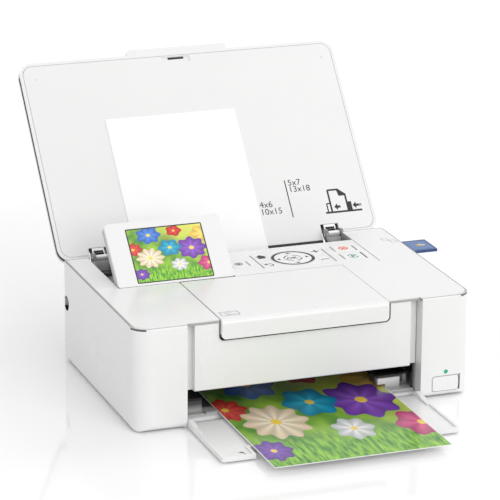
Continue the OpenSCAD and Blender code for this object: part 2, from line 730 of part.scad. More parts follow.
// the display, with its clear front standing in the window just below the surround's face
module screen_display() color([0.08, 0.08, 0.1]) in_screen_frame() {
    translate([window_x - 1.7, window_low - 0.5, screen_rise - screen_t + 1.6 + apart])
        cube([window_w + 3.4, window_l + 1.8, screen_t - 1.6 - apart - 1.5]);
    translate([window_x, window_low, screen_rise - 1.5 - eps]) linear_extrude(1.5 - screen_glass_sink + eps)
        rounded([0.2, 0.2], [window_w - 0.2, window_l - 0.2], 1, 1);
}

// ---- lid that is the paper support when open, in its own frame ----

module lid_outline(z0, z1, inset, r = lid_corner_r) {
    translate([0, 0, z0]) linear_extrude(z1 - z0)
        rounded([-side_x + inset, lid_low + inset], [side_x - inset, lid_high - inset], r - inset, r - inset);
}

// windows in the lid for the hinge ears
module hinge_windows() {
    for (x = [hinge_left, hinge_right])
        translate([x - hinge_w / 2 - ear_t - 2 * apart, lid_low - 20, lid_outer - over])
            cube([hinge_w + 2 * ear_t + 4 * apart, 20 + ear_r + apart + 4, lid_t + 2 * over]);
}

module lid_shell() color(white) in_lid_frame() difference() {
    union() {
        lid_outline(lid_outer + 2.2, lid_outer + 4.4, 0);
        lid_outline(lid_outer + 0.8, lid_outer + 2.2 + eps, 0.5);
        lid_outline(lid_outer, lid_outer + 0.8 + eps, 1.4);
        // step in the side, then the rim round the inner panel
        lid_outline(lid_outer + 4.4 - eps, lid_inner - 1.4, 1.2);
        lid_outline(lid_inner - 1.4 - eps, lid_inner, 0);
        translate([0, 0, lid_inner - 3.4]) linear_extrude(3.4)
            rounded([-lip_w / 2, lid_high - 8], [lip_w / 2, lid_high + 4.5], 1, 3);
    }
    lid_outline(lid_outer + 2, lid_inner + over, 2.4);
    hinge_windows();
    // way for the panel's apron
    translate([hinge_left + apron_side - 2 * apart, lid_low - over, lid_inner - 1.6 - apart])
        cube([hinge_right - hinge_left - 2 * apron_side + 4 * apart, over + 3, 3]);
}

module lid_panel() color(pale) in_lid_frame() difference() {
    union() {
        lid_outline(lid_inner - 1.6, lid_inner, 2.4 + apart);
        // apron that carries the paper over the gap behind the body
        translate([hinge_left + apron_side, lid_low - apron, lid_inner - 1.6])
            cube([hinge_right - hinge_left - 2 * apron_side, apron + 4, 1.6]);
        translate([hinge_left + apron_side, lid_low - apron - apron_lip, lid_inner - 1.6])
            cube([hinge_right - hinge_left - 2 * apron_side, apron_lip + eps, 0.7]);
        // long ribs that stiffen the panel from behind
        for (x = [-75:30:75]) translate([x - 0.8, lid_low + 16, lid_inner - 5.4])
            cube([1.6, lid_l - 30, 3.9]);
    }
    hinge_windows();
    // finger recess with the catch slot in it
    translate([-13, lid_high - 8, lid_inner - 1]) cube([22, 4.4, 2]);
    translate([-8, lid_high - 5.6, lid_inner - 3]) cube([12.5, 1.8, 4]);
    // dimples over the bumpers
    for (s = [-1, 1]) translate([s * 113, lid_low + 146, lid_inner - 0.5]) cylinder(h = 1, r = 1);
}

// cranked arms: an eye round the pin, a neck that passes behind a slot, and a foot inside the lid
module lid_arms() color(pale) in_lid_frame() for (x = [hinge_left, hinge_right])
    translate([x - hinge_w / 2, 0, 0]) rotate([90, 0, 90]) linear_extrude(hinge_w) difference() {
        union() {
            circle(r = eye_r);
            polygon([[eye_r, 0], [eye_r, lid_inner - 2], [5.7, lid_inner - 2],
                     [5.7, lid_inner], [9.6, lid_inner],
                     [9.6, lid_inner - 1.6 - apart], [19.6, lid_inner - 1.6 - apart], [19.6, lid_outer + 2.3],
                     [5, lid_outer + 2.3], [3.6, lid_inner - 4], [-eye_r + 1, lid_inner - 4],
                     [-eye_r, lid_inner - 3], [-eye_r, 0]]);
        }
        circle(r = lid_pin_r + free);
    }

module lid_pins() color(steel) for (x = [hinge_left, hinge_right])
    rod_x([pivot_y, pivot_z], lid_pin_r, x - hinge_w / 2 - apart - ear_t, x + hinge_w / 2 + apart + ear_t);

module lid_catch() color(dark) in_lid_frame()
    translate([-7.6, lid_high - 5.4, lid_inner - 5]) cube([11.7, 1.4, 4]);

// ---- front tray, open at rest ----

module output_tray() color(white) difference() {
    union() {
        // floor, with a raised edge on three sides
        plan(tray_lift, tray_lift + tray_t) tray_outline(0);
        plan(tray_lift + tray_t - eps, tray_lift + tray_t + 1.2) difference() {
            tray_outline(0);
            tray_outline(1.8);
            translate([-tray_x - over, tray_pivot_y - 8]) square([2 * tray_x + 2 * over, 20]);
        }
        for (s = [-1, 1]) {
            x0 = s > 0 ? tray_x - 3.4 : -tray_x;
            // side ears that fall away towards the front
            along_x(x0, x0 + 3.4) polygon([
                [tray_pivot_y - 22, tray_lift + 1], [tray_pivot_y - 22, tray_lift + tray_t + 1.2],
                [tray_pivot_y - 14, tray_lift + tray_t + 1.6], [tray_pivot_y - 7, ear_top - 0.6],
                [tray_pivot_y - 3, ear_top], [tray_pivot_y - 0.8, ear_top - 0.8],
                [tray_pivot_y, tray_pivot_z], [tray_pivot_y, tray_lift + 1]]);
            rod_x([tray_pivot_y, tray_pivot_z], 2.3, x0, x0 + 3.4);
            rod_x([tray_pivot_y, tray_pivot_z], tray_pin_r, s > 0 ? tray_x - eps : -tray_x - seam - wall,
                  s > 0 ? tray_x + seam + wall : -tray_x + eps);
        }
    }
}

// plan of the tray with the notch that clears the chin when it is shut
module tray_outline(inset) {
    difference() {
        rounded([-tray_x + inset, tray_pivot_y - tray_l + inset], [tray_x - inset, tray_pivot_y - 0.6], 2, 0);
        translate([-cover_x - 0.8 - inset, tray_pivot_y - tray_l - over])
            square([cover_w + 1.6 + 2 * inset, tray_pivot_z + tray_l - chin_z + 0.8 + over + inset]);
    }
}

module output_bed() color(pale) difference() {
    union() {
        block([-open_x + 1, sill_y + apart, floor_z], [open_x - 1, bed_back, floor_z + 1.4]);
        // front bar with a small stop, and the blocks beside the paper
        rod_x([sill_y + 2.3, floor_z + 1.0], 1.1, -open_x + 1, open_x - 1);
        block([print_left - 9.3, sill_y + apart, floor_z], [print_left - 0.8, sill_y + 5.4, floor_z + 3.6]);
        // the right block overhangs the edge of the widest print
        block([print_left + print_w + 1, 20, floor_z], [print_left + print_w + 11.8, 34, 13.6]);
        block([print_left + print_w - 4.8, 20, print_z + paper_t + 1.5],
              [print_left + print_w + 11.8, 34, 13.6]);
        block([print_left + print_w + 12.6, 24, floor_z], [open_x - 1, 40, 13.2]);
        block([-open_x + 1, 20, floor_z], [print_left - 8.8, 40, 13.6]);
        for (x = [-50:20:50]) block([x - 0.6, 16, floor_z + 1.4 - eps],
                                    [x + 0.6, bed_back - 4, floor_z + 1.7]);
    }
    block([-open_x, sill_y - over, -over], [open_x, bed_back, floor_z]);
}

// ---- mechanism ----

// frame plates at the sides, joined by a rear channel and a front rail, with bores for the shafts
module chassis_frame() color(steel) difference() {
    union() {
        for (s = [-1, 1]) {
            x0 = s > 0 ? plate_x : -plate_x - plate_t;
            block([x0, frame_front, floor_z + 0.1], [x0 + plate_t, body_d - 12, deck_z - skin - apart]);
            block([x0, body_d - 12 - eps, 12 + apart], [x0 + plate_t, body_d - 4, pivot_z - 12 - apart]);
        }
        block([-plate_x - eps, body_d - 5.2, 12 + apart], [plate_x + eps, body_d - 4, 26]);
        block([-plate_x - eps, frame_front, rail_z - 14],
              [plate_x + eps, frame_front + plate_t, rail_z + 14]);
        // shelf that carries the pulleys and the carriage motor
        block([-plate_x - eps, frame_front + 1, belt_z - 3 - plate_t],
              [-plate_x + 40, belt_y + 8, belt_z - 3]);
        block([plate_x - 40, frame_front + 1, belt_z - 3 - plate_t], [plate_x + eps, belt_y + 8, belt_z - 3]);
        // bracket outside the gears for the feed motor
        block([bracket_x, feed_y + 12, floor_z + 0.1],
              [bracket_x + plate_t, pinion_at[0] + 12, pinion_at[1] + 12]);
        block([bracket_x, feed_y + 12, floor_z + 0.1], [-plate_x, pinion_at[0] + 12, floor_z + plate_t]);
        // flange under the card reader
        block([plate_x, card_y - 18, deck_z - skin - apart - plate_t],
              [in_x - 1, card_y + 18, deck_z - skin - apart]);
    }
    for (x = [-plate_x - plate_t - over, plate_x - over]) {
        rod_x(feed_at, shaft_r + free, x, x + plate_t + 2 * over);
        rod_x(exit_at, 2.2 + free, x, x + plate_t + 2 * over);
        rod_x(pick, shaft_r + free, x, x + plate_t + 2 * over);
        rod_x([rail_y, rail_z], rail_r + free, x, x + plate_t + 2 * over);
        rod_x(hopper_pin, 1.2 + free, x, x + plate_t + 2 * over);
        rod_x([exit_y, press_z], 1, x, x + plate_t + 2 * over);
    }
    rod_x(drive_at, 2, -plate_x - plate_t - over, -plate_x + over);
    rod_x(exit_idler_at, 2, -plate_x - plate_t - over, -plate_x + over);
    rod_x(pinion_at, 6, bracket_x - over, bracket_x + plate_t + over);
    for (s = [-1, 1]) rod_z([s * belt_x, belt_y], 2, belt_z - 3 - plate_t - over, belt_z - 3 + over);
}

module carriage_rail() color(steel) rod_x([rail_y, rail_z], rail_r, -plate_x - plate_t, plate_x + plate_t);

module carriage() color(dark) difference() {
    union() {
        block([carriage_home - carriage_w / 2, carriage_front, carriage_low],
              [carriage_home + carriage_w / 2, head_y + 6, carriage_top]);
        block([carriage_home - carriage_w / 2, head_y + 6 - eps, rail_z - rail_r - 2.6],
              [carriage_home + carriage_w / 2, rail_y + rail_r + 2.6, carriage_top]);
        // belt clip
        block([carriage_home - 6, belt_y + pulley_r + belt_t + apart, belt_z],
              [carriage_home + 6, carriage_front + eps, belt_z + belt_w]);
    }
    rod_x([rail_y, rail_z], rail_r + free, carriage_home - carriage_w, carriage_home + carriage_w);
    // well for the cartridge, and the hollow behind it
    block([carriage_home - carriage_w / 2 + 2, carriage_front + 2, carriage_low + 2],
          [carriage_home + carriage_w / 2 - 2, well_back, carriage_top + over]);
    block([carriage_home - carriage_w / 2 + 2, well_back + 2, carriage_low + 2],
          [carriage_home + carriage_w / 2 - 2, rail_y - rail_r - 2, carriage_top - 2]);
}

module print_head() color(grey) {
    block([carriage_home - head_w / 2, head_y - 6, head_z + 2],
          [carriage_home + head_w / 2, head_y + 6, carriage_low]);
    // nozzle plate
    block([carriage_home - head_w / 2 + 1, head_y - 5, head_z],
          [carriage_home + head_w / 2 - 1, head_y + 5, head_z + 2 + eps]);
}

module ink_cartridge() color([0.16, 0.16, 0.18]) {
    block([carriage_home - carriage_w / 2 + 2.3, carriage_front + 2.3, carriage_low + 2.1],
          [carriage_home + carriage_w / 2 - 2.3, well_back - 0.3, carriage_top + 3]);
    // grip to lift it by
    block([carriage_home - 8, carriage_front + 2.3, carriage_top + 3 - eps],
          [carriage_home + 8, carriage_front + 4.3, carriage_top + 7]);
}

module belt_loop(r) {
    for (s = [-1, 1]) translate([s * belt_x, belt_y]) circle(r = r);
    translate([-belt_x, belt_y - r]) square([2 * belt_x, 2 * r]);
}

module timing_belt() color(rubber) plan(belt_z, belt_z + belt_w) difference() {
    belt_loop(pulley_r + belt_t);
    belt_loop(pulley_r);
}

module pulley(x) {
    difference() {
        union() {
            rod_z([x, belt_y], pulley_r - free, belt_z - 0.4, belt_z + belt_w + 0.4);
            rod_z([x, belt_y], pulley_r + 2, belt_z + belt_w + 0.4 - eps, belt_z + belt_w + 1.4);
            rod_z([x, belt_y], pulley_r + 2, belt_z - 1.4, belt_z - 0.4 + eps);
        }
        rod_z([x, belt_y], 1.5 + free, belt_z - 3, belt_z + belt_w + 3);
    }
}

module drive_pulley() color(grey) pulley(-belt_x);

module idler_pulley() color(grey) pulley(belt_x);

module carriage_motor() color(steel) {
    rod_z([-belt_x, belt_y], 8.4, belt_z - 26, belt_z - 3 - plate_t - 0.05);
    rod_z([-belt_x, belt_y], 2 - free, belt_z - 3 - plate_t - 0.1, belt_z - 2.4);
    rod_z([-belt_x, belt_y], 1.5, belt_z - 2.4 - eps, belt_z + belt_w + 2);
    // the idler's post stands on the other shelf
    rod_z([belt_x, belt_y], 2 - free, belt_z - 3 - plate_t, belt_z - 2.4);
    rod_z([belt_x, belt_y], 1.5, belt_z - 2.4 - eps, belt_z + belt_w + 2);
}

module feed_roller() color(grey) {
    rod_x(feed_at, shaft_r, -plate_x - plate_t - 0.6 + eps, plate_x + plate_t + 2);
    rod_x(feed_at, feed_r, paper_left - 5, paper_left + paper_max + 5);
    rod_x(feed_at, 1.5, gear_x, -plate_x);
    gear(feed_at, feed_n, 0, 1.4);
}

module exit_roller() color(rubber) {
    rod_x(exit_at, 2.2, -plate_x - plate_t - 0.6 + eps, plate_x + plate_t + 2);
    for (x = wheel_places) rod_x(exit_at, exit_r, x - 4, x + 4);
    rod_x(exit_at, 1.5, gear_x, -plate_x);
    gear(exit_at, exit_n, exit_turn, 1.4);
}

wheel_step = 24;
wheel_places = [for (k = [-2.5:2.5]) k * wheel_step];

// toothed wheels that hold the wet print down on the exit roller
module star_wheels() color(steel) {
    rod_x([exit_y, press_z], 1 - free, -plate_x - plate_t, plate_x + plate_t);
    for (x = wheel_places)
        translate([x - 0.4, front + exit_y, press_z]) rotate([90, 0, 90]) linear_extrude(0.8)
        polygon([for (k = [0:23]) (k % 2 == 0 ? press_r : press_r - 0.8) * [cos(k * 15), sin(k * 15)]]);
}

module pinch_rollers() color(grey) {
    rod_x([feed_y, press_z], 1 - free, paper_left - 2, paper_left + paper_max + 2);
    for (x = [-50:20:50]) rod_x([feed_y, press_z], press_r, x - 6, x + 6);
}

// arms that hold the pinch rollers down on the feed roller
module roller_holder() color(dark) difference() {
    union() {
        block([-plate_x, feed_y + 4.6, press_z - 1.6], [plate_x, feed_y + 8, press_z + 1.6]);
        for (x = [-60:20:60]) block([x - 1.6, feed_y - 2, press_z - 1.8],
                                    [x + 1.6, feed_y + 6, press_z + 1.8]);
    }
    rod_x([feed_y, press_z], 1, -plate_x, plate_x);
}

tyre_w = 24;
tyre_x = -tyre_w / 2 - 10;

module pickup_roller() color(rubber) {
    rod_x(pick, shaft_r, -plate_x - plate_t - 0.6 + eps, plate_x + plate_t + 2);
    rod_x(pick, pick_r, tyre_x, tyre_x + tyre_w);
    rod_x(pick, 1.5, gear_x, -plate_x);
    gear(pick, pick_n, pick_turn, 1.4);
}

module drive_gear() color(pale) {
    gear(drive_at, drive_n, drive_turn, 1.9);
    rod_x(drive_at, 2 - free, gear_x, -plate_x);
}

module exit_idler_gear() color(pale) {
    gear(exit_idler_at, exit_idler_n, exit_idler_turn, 1.9);
    rod_x(exit_idler_at, 2 - free, gear_x, -plate_x);
}

module motor_pinion() color([0.8, 0.65, 0.3]) gear(pinion_at, pinion_n, pinion_turn, 1 + free);

module feed_motor() color(steel) {
    rod_x(pinion_at, 10, -in_x + 1, bracket_x);
    rod_x(pinion_at, 5.9, bracket_x - eps, bracket_x + plate_t);
    rod_x(pinion_at, 1, bracket_x + plate_t - eps, gear_x + gear_w + 0.4);
}

module platen() color(dark) {
    block([paper_left - 14.7, exit_y + exit_r + 0.8, floor_z],
          [paper_left + paper_max + 2.3, feed_y - feed_r - 0.8, path_z - 2]);
    for (x = [paper_left - 8.7:8:paper_left + paper_max - 1.7])
        block([x - 0.8, exit_y + exit_r + 0.8, path_z - 2 - eps],
              [x + 0.8, feed_y - feed_r - 0.8, path_z - 0.3]);
}

// curved guide from the end of the loaded sheet down to the feed roller
module paper_chute() color(grey) {
    bend_r = 24;
    bend = [feed_y + 7.4, path_z + bend_r];          // middle of the bend
    arc_points = [for (a = [0:5:45]) bend + bend_r * [sin(a * lid_tilt / 45), -cos(a * lid_tilt / 45)]];
    under = [for (a = [45:-5:0]) bend + (bend_r + 1.6) * [sin(a * lid_tilt / 45), -cos(a * lid_tilt / 45)]];
    top = sheet_end + 2 * [-cos(lid_tilt), -sin(lid_tilt)] + 1.6 * [sin(lid_tilt), -cos(lid_tilt)];
    along_x(paper_left - 4, paper_left + paper_max + 4)
        polygon(concat(arc_points, [top, top + 1.6 * [sin(lid_tilt), -cos(lid_tilt)]], under));
    for (x = [paper_left - 4, -4, paper_left + paper_max + 2]) along_x(x, x + 2)
        polygon([[feed_y + 8, path_z - 1.8], [feed_y + 16, path_z],
                 top + 1.2 * [sin(lid_tilt), -cos(lid_tilt)],
                 [top[0] + 6, floor_z], [feed_y + 8, floor_z]]);
}

// spring-loaded plate that lifts the stack against the pick-up roller
module hopper_plate() color(pale) in_lid_frame() difference() {
    union() {
        translate([paper_left + 0.5, -40, lid_inner - 0.4 - 1.5]) cube([paper_max - 1, 25, 1.5]);
        translate([-plate_x - plate_t, -17, lid_inner - 2]) rotate([0, 90, 0])
            cylinder(h = 2 * (plate_x + plate_t), r = 1.2);
    }
    // seat of the friction pad under the pick-up roller
    translate([tyre_x, -39, lid_inner - 0.8]) cube([tyre_w, 10, 1]);
}

module edge_guide() color(pale) in_lid_frame() {
    x0 = paper_left + sheet_w + apart;
    translate([x0, -30, lid_inner - 0.2]) cube([2, 22, 4.4]);
    translate([x0 + 2 - eps, -22, lid_inner + 3]) cube([6, 8, 1.2]);
}

module main_board() color([0.1, 0.35, 0.2]) {
    block([plate_x + plate_t + 2.4, frame_front + 6, 8], [plate_x + plate_t + 4, body_d - 12, deck_z - 8.4]);
    for (y = [frame_front + 12, body_d - 18], z = [14, deck_z - 14.4])
        rod_x([y, z], 2.4, plate_x + plate_t, plate_x + plate_t + 2.4 + eps);
    block([plate_x + plate_t + 4 - eps, 70, 24], [plate_x + plate_t + 6, 90, 44]);
    block([plate_x + plate_t + 4 - eps, 104, 16], [plate_x + plate_t + 9, 112, 40]);
    // data socket soldered to its rear end
    difference() {
        block([plate_x + plate_t + 4 - eps, body_d - wall - 14, data_at[1] - 5.6],
              [data_at[0] + 6, body_d - wall - 0.3, data_at[1] + 5.6]);
        block([data_at[0] - 4.4, body_d - wall - 11, data_at[1] - 4],
              [data_at[0] + 4.4, body_d, data_at[1] + 4]);
    }
}

// round power inlet behind the left side
module dc_socket() color(dark) difference() {
    union() {
        block([-in_x + 0.3, dc_at[0] - 5.6, dc_at[1] - 6.4], [-in_x + 12, dc_at[0] + 4.6, dc_at[1] + 6.4]);
        block([-in_x + 12 - eps, dc_at[0] - 7, dc_at[1] - 8], [-in_x + 13.6, dc_at[0] + 4.6, dc_at[1] + 8]);
    }
    rod_x(dc_at, inlet_r, -in_x - over, -in_x + 9);
}

module card_reader() color(steel) difference() {
    block([recess_right + skin + apart, card_y - card_w / 2 - 2, deck_z - skin - apart],
          [in_x - 0.4, card_y + card_w / 2 + 2, card_z + card_t / 2 + 1.2]);
    block([recess_right + skin + apart + 0.8, card_y - card_w / 2 - 0.4, card_z - card_t / 2 - 0.3],
          [in_x + over, card_y + card_w / 2 + 0.4, card_z + card_t / 2 + 0.3]);
}

module memory_card() color([0.2, 0.33, 0.62]) difference() {
    block([side_x + card_out - card_l, card_y - card_w / 2, card_z - card_t / 2],
          [side_x + card_out, card_y + card_w / 2, card_z + card_t / 2]);
    // the bevelled corner that goes in first
    translate([side_x + card_out - card_l, front + card_y + card_w / 2, card_z]) rotate([0, 0, 45])
        cube([6, 6, card_t + 2], center = true);
}

module blank_sheet() color([0.97, 0.97, 0.97]) in_lid_frame()
    translate([paper_left, sheet_low, sheet_face]) cube([sheet_w, sheet_l, paper_t]);

module printed_photo() color([0.35, 0.6, 0.4])
    block([print_left, -print_reach, print_z],
          [print_left + print_w, print_l - print_reach, print_z + paper_t]);

bottom_case();
rubber_feet();
case_screws();
body_shell();
front_panel();
top_cover();
centre_cover();
control_panel();
view_key();
home_key();
back_key();
direction_key();
ok_key();
plus_key();
minus_key();
stop_key();
start_key();
key_board();
power_button();
power_light();
power_board();
screen_frame();
screen_back();
screen_display();
lid_shell();
lid_panel();
lid_arms();
lid_pins();
lid_catch();
output_tray();
output_bed();
chassis_frame();
carriage_rail();
carriage();
print_head();
ink_cartridge();
timing_belt();
drive_pulley();
idler_pulley();
carriage_motor();
feed_roller();
exit_roller();
star_wheels();
pinch_rollers();
roller_holder();
pickup_roller();
drive_gear();
exit_idler_gear();
motor_pinion();
feed_motor();
platen();
paper_chute();
hopper_plate();
edge_guide();
main_board();
dc_socket();
card_reader();
memory_card();
blank_sheet();
printed_photo();
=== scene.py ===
import json
import math

import bmesh
import bpy
from mathutils import Matrix, Vector


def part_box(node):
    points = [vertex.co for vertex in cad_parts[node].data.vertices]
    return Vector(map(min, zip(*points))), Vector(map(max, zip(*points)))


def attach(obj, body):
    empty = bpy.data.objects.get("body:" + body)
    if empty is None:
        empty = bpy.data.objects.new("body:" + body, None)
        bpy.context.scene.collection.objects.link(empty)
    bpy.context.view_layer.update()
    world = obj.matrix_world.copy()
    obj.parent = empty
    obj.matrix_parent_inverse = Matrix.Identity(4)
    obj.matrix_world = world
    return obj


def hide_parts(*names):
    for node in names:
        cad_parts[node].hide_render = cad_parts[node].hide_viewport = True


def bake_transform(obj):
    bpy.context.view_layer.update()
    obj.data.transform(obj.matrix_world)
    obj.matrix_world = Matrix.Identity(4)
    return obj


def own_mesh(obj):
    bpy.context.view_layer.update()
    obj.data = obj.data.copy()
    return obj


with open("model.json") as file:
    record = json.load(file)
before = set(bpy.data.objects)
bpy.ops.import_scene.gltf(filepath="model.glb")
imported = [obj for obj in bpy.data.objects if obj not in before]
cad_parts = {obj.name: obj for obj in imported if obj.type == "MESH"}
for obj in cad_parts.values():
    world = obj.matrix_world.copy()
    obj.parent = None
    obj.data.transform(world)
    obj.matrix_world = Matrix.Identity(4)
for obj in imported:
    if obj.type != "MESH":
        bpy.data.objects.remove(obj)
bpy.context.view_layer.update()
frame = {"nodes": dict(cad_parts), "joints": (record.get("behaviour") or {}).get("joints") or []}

# ---------------------------------------------------------------------------
# Camera. A long lens two metres away, a little above the printer and left of
# its middle, leaning half a degree.
# ---------------------------------------------------------------------------
turn, rise, lean = math.radians(-20.42), math.radians(17.66), math.radians(0.46)
aim_point = Vector((-0.04194, -0.0825, 0.12352))
lens_distance = 2.00655
backwards = Vector((math.sin(turn) * math.cos(rise), -math.cos(turn) * math.cos(rise), math.sin(rise)))
level = Vector((math.cos(turn), math.sin(turn), 0))
upright = backwards.cross(level)
view_right = level * math.cos(lean) + upright * math.sin(lean)
view_up = upright * math.cos(lean) - level * math.sin(lean)
facing = Matrix((view_right, view_up, backwards)).transposed().to_4x4()
camera = bpy.data.objects.new("camera", bpy.data.cameras.new("camera"))
bpy.context.scene.collection.objects.link(camera)
camera.matrix_world = Matrix.Translation(aim_point + backwards * lens_distance) @ facing
camera.data.sensor_width = 36
camera.data.lens = 214.45
camera.data.clip_end = 20
bpy.context.scene.camera = camera


# ---------------------------------------------------------------------------
# Studio. White paper sweep on the floor, a large soft light in front and above,
# weaker ones at the sides. The room behind is plain white.
# ---------------------------------------------------------------------------
def feed(tree, made, inputs):
    """Gives a shader node its inputs, by name or number: plain values, or the outputs that feed them."""
    for name, value in inputs.items():
        socket = made.inputs[name]
        if isinstance(value, bpy.types.NodeSocket):
            tree.links.new(value, socket)
        elif socket.type == "RGBA":
            socket.default_value = (*value, 1)
        else:
            socket.default_value = value


def node(tree, kind, inputs=None, **settings):
    """A new shader node with its settings and its inputs."""
    made = tree.nodes.new("ShaderNode" + kind)
    for setting, value in settings.items():
        setattr(made, setting, value)
    feed(tree, made, inputs or {})
    return made


def number(tree, operation, *values, clamp=False):
    """What one node for sums gives."""
    return node(tree, "Math", dict(enumerate(values)), operation=operation, use_clamp=clamp).outputs[0]


def new_material(name):
    """A material with its node tree and its shader."""
    material = bpy.data.materials.new(name)
    material.use_nodes = True
    return material, material.node_tree, material.node_tree.nodes["Principled BSDF"]


def in_scene(name, mesh):
    """A new object in the scene."""
    made = bpy.data.objects.new(name, mesh)
    bpy.context.scene.collection.objects.link(made)
    return made


room_light, backdrop_light = 0.79, 1.0
bpy.context.scene.view_settings.view_transform = "Standard"
world = bpy.data.worlds.new("studio")
bpy.context.scene.world = world
world.use_nodes = True
tree = world.node_tree
tree.nodes.clear()
ray = node(tree, "LightPath").outputs
seen = number(tree, "MAXIMUM", ray["Is Camera Ray"], ray["Is Glossy Ray"])
seen = number(tree, "MAXIMUM", seen, ray["Is Transmission Ray"])
room, backdrop = [node(tree, "Background", {"Color": (1, 1, 1), "Strength": strength}).outputs[0]
                  for strength in (room_light, backdrop_light)]
mix = node(tree, "MixShader", {0: seen, 1: room, 2: backdrop})
node(tree, "OutputWorld", {"Surface": mix.outputs[0]})

for name, place, aim, size, power in (
        ("front_softbox", (0.35, -1.7, 1.0), (0, 0, 0.05), 1.3, 12.4),
        ("right_softbox", (1.1, 0.35, 1.0), (0.05, 0, 0.05), 0.7, 3.9),
        ("left_fill", (-0.45, -0.7, 0.25), (-0.12, -0.08, 0.05), 0.3, 0.13)):
    light = in_scene(name, bpy.data.lights.new(name, "AREA"))
    light.data.shape = "SQUARE"
    light.data.size = size
    light.data.energy = power
    light.location = place
    light.rotation_euler = (Vector(aim) - Vector(place)).to_track_quat("-Z", "Y").to_euler()

sweep_reach = 6.0
sweep_corners = [(x * sweep_reach, y * sweep_reach, 0) for x, y in ((-1, -1), (1, -1), (1, 1), (-1, 1))]
mesh = bpy.data.meshes.new("floor")
mesh.from_pydata(sweep_corners, [], [(0, 1, 2, 3)])
floor = in_scene("floor", mesh)
sweep_paper, tree, shader = new_material("white paper sweep")
# Painted light: the floor glows for camera and glossy rays, more away from the printer than near it.
from_middle = node(tree, "VectorMath", {0: node(tree, "TexCoord").outputs["Object"]}, operation="LENGTH")
glow = node(tree, "MapRange", {"Value": from_middle.outputs["Value"], "From Min": 0.14, "From Max": 0.7,
                               "To Min": 0.06, "To Max": 0.2}).outputs["Result"]
ray = node(tree, "LightPath").outputs
seen = number(tree, "MAXIMUM", ray["Is Camera Ray"], ray["Is Glossy Ray"])
feed(tree, shader, {"Base Color": (0.9, 0.9, 0.9), "Roughness": 0.07, "Emission Color": (1, 1, 1),
                    "Emission Strength": number(tree, "MULTIPLY", glow, seen)})
mesh.materials.append(sweep_paper)


# ---------------------------------------------------------------------------
# Bottom case. A tray moulded in white plastic that carries everything else. It
# stands on four black rubber feet, and steel screws hold it from below.
# ---------------------------------------------------------------------------
def node_group(name, inputs, **outputs):
    """A node group with named sockets: the group, what it is given, and the node that takes its results."""
    group = bpy.data.node_groups.new(name, "ShaderNodeTree")
    for way, sockets in (("INPUT", inputs), ("OUTPUT", outputs)):
        for socket, kind in sockets.items():
            group.interface.new_socket(socket, in_out=way, socket_type="NodeSocket" + kind)
    return group, group.nodes.new("NodeGroupInput").outputs, group.nodes.new("NodeGroupOutput")


def blend_colours(tree, share, below, above):
    """What one node gives that mixes two colours."""
    return node(tree, "Mix", {0: share, 6: below, 7: above}, data_type="RGBA").outputs[2]


# Moulded plastic: even colour, a very fine spark-eroded texture, and gloss that varies a little.
moulded, given, result = node_group(
    "Moulded surface", {"Colour": "Color", "Gloss": "Float", "Texture": "Float"},
    Colour="Color", Roughness="Float", Normal="Vector")
spot = node(moulded, "TexCoord").outputs["Object"]
broad = node(moulded, "TexNoise", {"Vector": spot, "Scale": 22, "Detail": 3}).outputs["Fac"]
spark = node(moulded, "TexNoise", {"Vector": spot, "Scale": 2600, "Detail": 2}).outputs["Fac"]
tone = node(moulded, "MapRange", {"Value": broad, "To Min": 0.975, "To Max": 1.02}).outputs["Result"]
shade = node(moulded, "VectorMath", {0: given["Colour"], "Scale": tone}, operation="SCALE")
bump = node(moulded, "Bump", {"Strength": given["Texture"], "Height": spark, "Distance": 0.00004})
feed(moulded, result, {"Colour": shade.outputs["Vector"], "Normal": bump.outputs["Normal"],
                       "Roughness": number(moulded, "MULTIPLY_ADD", broad, 0.08, given["Gloss"])})

# Painted shade for deep gaps and the inside of the housing: inside a box, this group darkens a colour along a
# direction, where shade would fall.
recess, given, result = node_group(
    "Painted recess shade", {"Colour": "Color", "Centre": "Vector", "Half size": "Vector", "Direction": "Vector",
                    "Light from": "Float", "Dark from": "Float", "Rest": "Float"}, Colour="Color")
spot = node(recess, "TexCoord").outputs["Object"]
along = node(recess, "VectorMath", {0: spot, 1: given["Direction"]}, operation="DOT_PRODUCT").outputs["Value"]
fade = node(recess, "MapRange", {"Value": along, "From Min": given["Light from"],
                                 "From Max": given["Dark from"]})
offset = node(recess, "VectorMath", {0: spot, 1: given["Centre"]}, operation="SUBTRACT").outputs["Vector"]
offset = node(recess, "VectorMath", {0: offset}, operation="ABSOLUTE").outputs["Vector"]
spare = node(recess, "VectorMath", {0: given["Half size"], 1: offset}, operation="SUBTRACT").outputs["Vector"]
spare = node(recess, "SeparateXYZ", {0: spare}).outputs
least = number(recess, "MINIMUM", number(recess, "MINIMUM", spare["X"], spare["Y"]), spare["Z"])
share = number(recess, "MULTIPLY", fade.outputs["Result"], number(recess, "GREATER_THAN", least, 0))
darkened = node(recess, "VectorMath", {0: given["Colour"], "Scale": given["Rest"]}, operation="SCALE")
feed(recess, result, {"Colour": blend_colours(recess, share, given["Colour"], darkened.outputs["Vector"])})


def painted_shade(direction, light_from, dark_from, rest, centre=(0, 0, 0), half_size=(1, 1, 1)):
    """A place of painted shade: in a box, a colour falls to the rest of it between two distances along a
    direction.
    """
    return {"Direction": direction, "Light from": light_from, "Dark from": dark_from, "Rest": rest,
            "Centre": centre, "Half size": half_size}


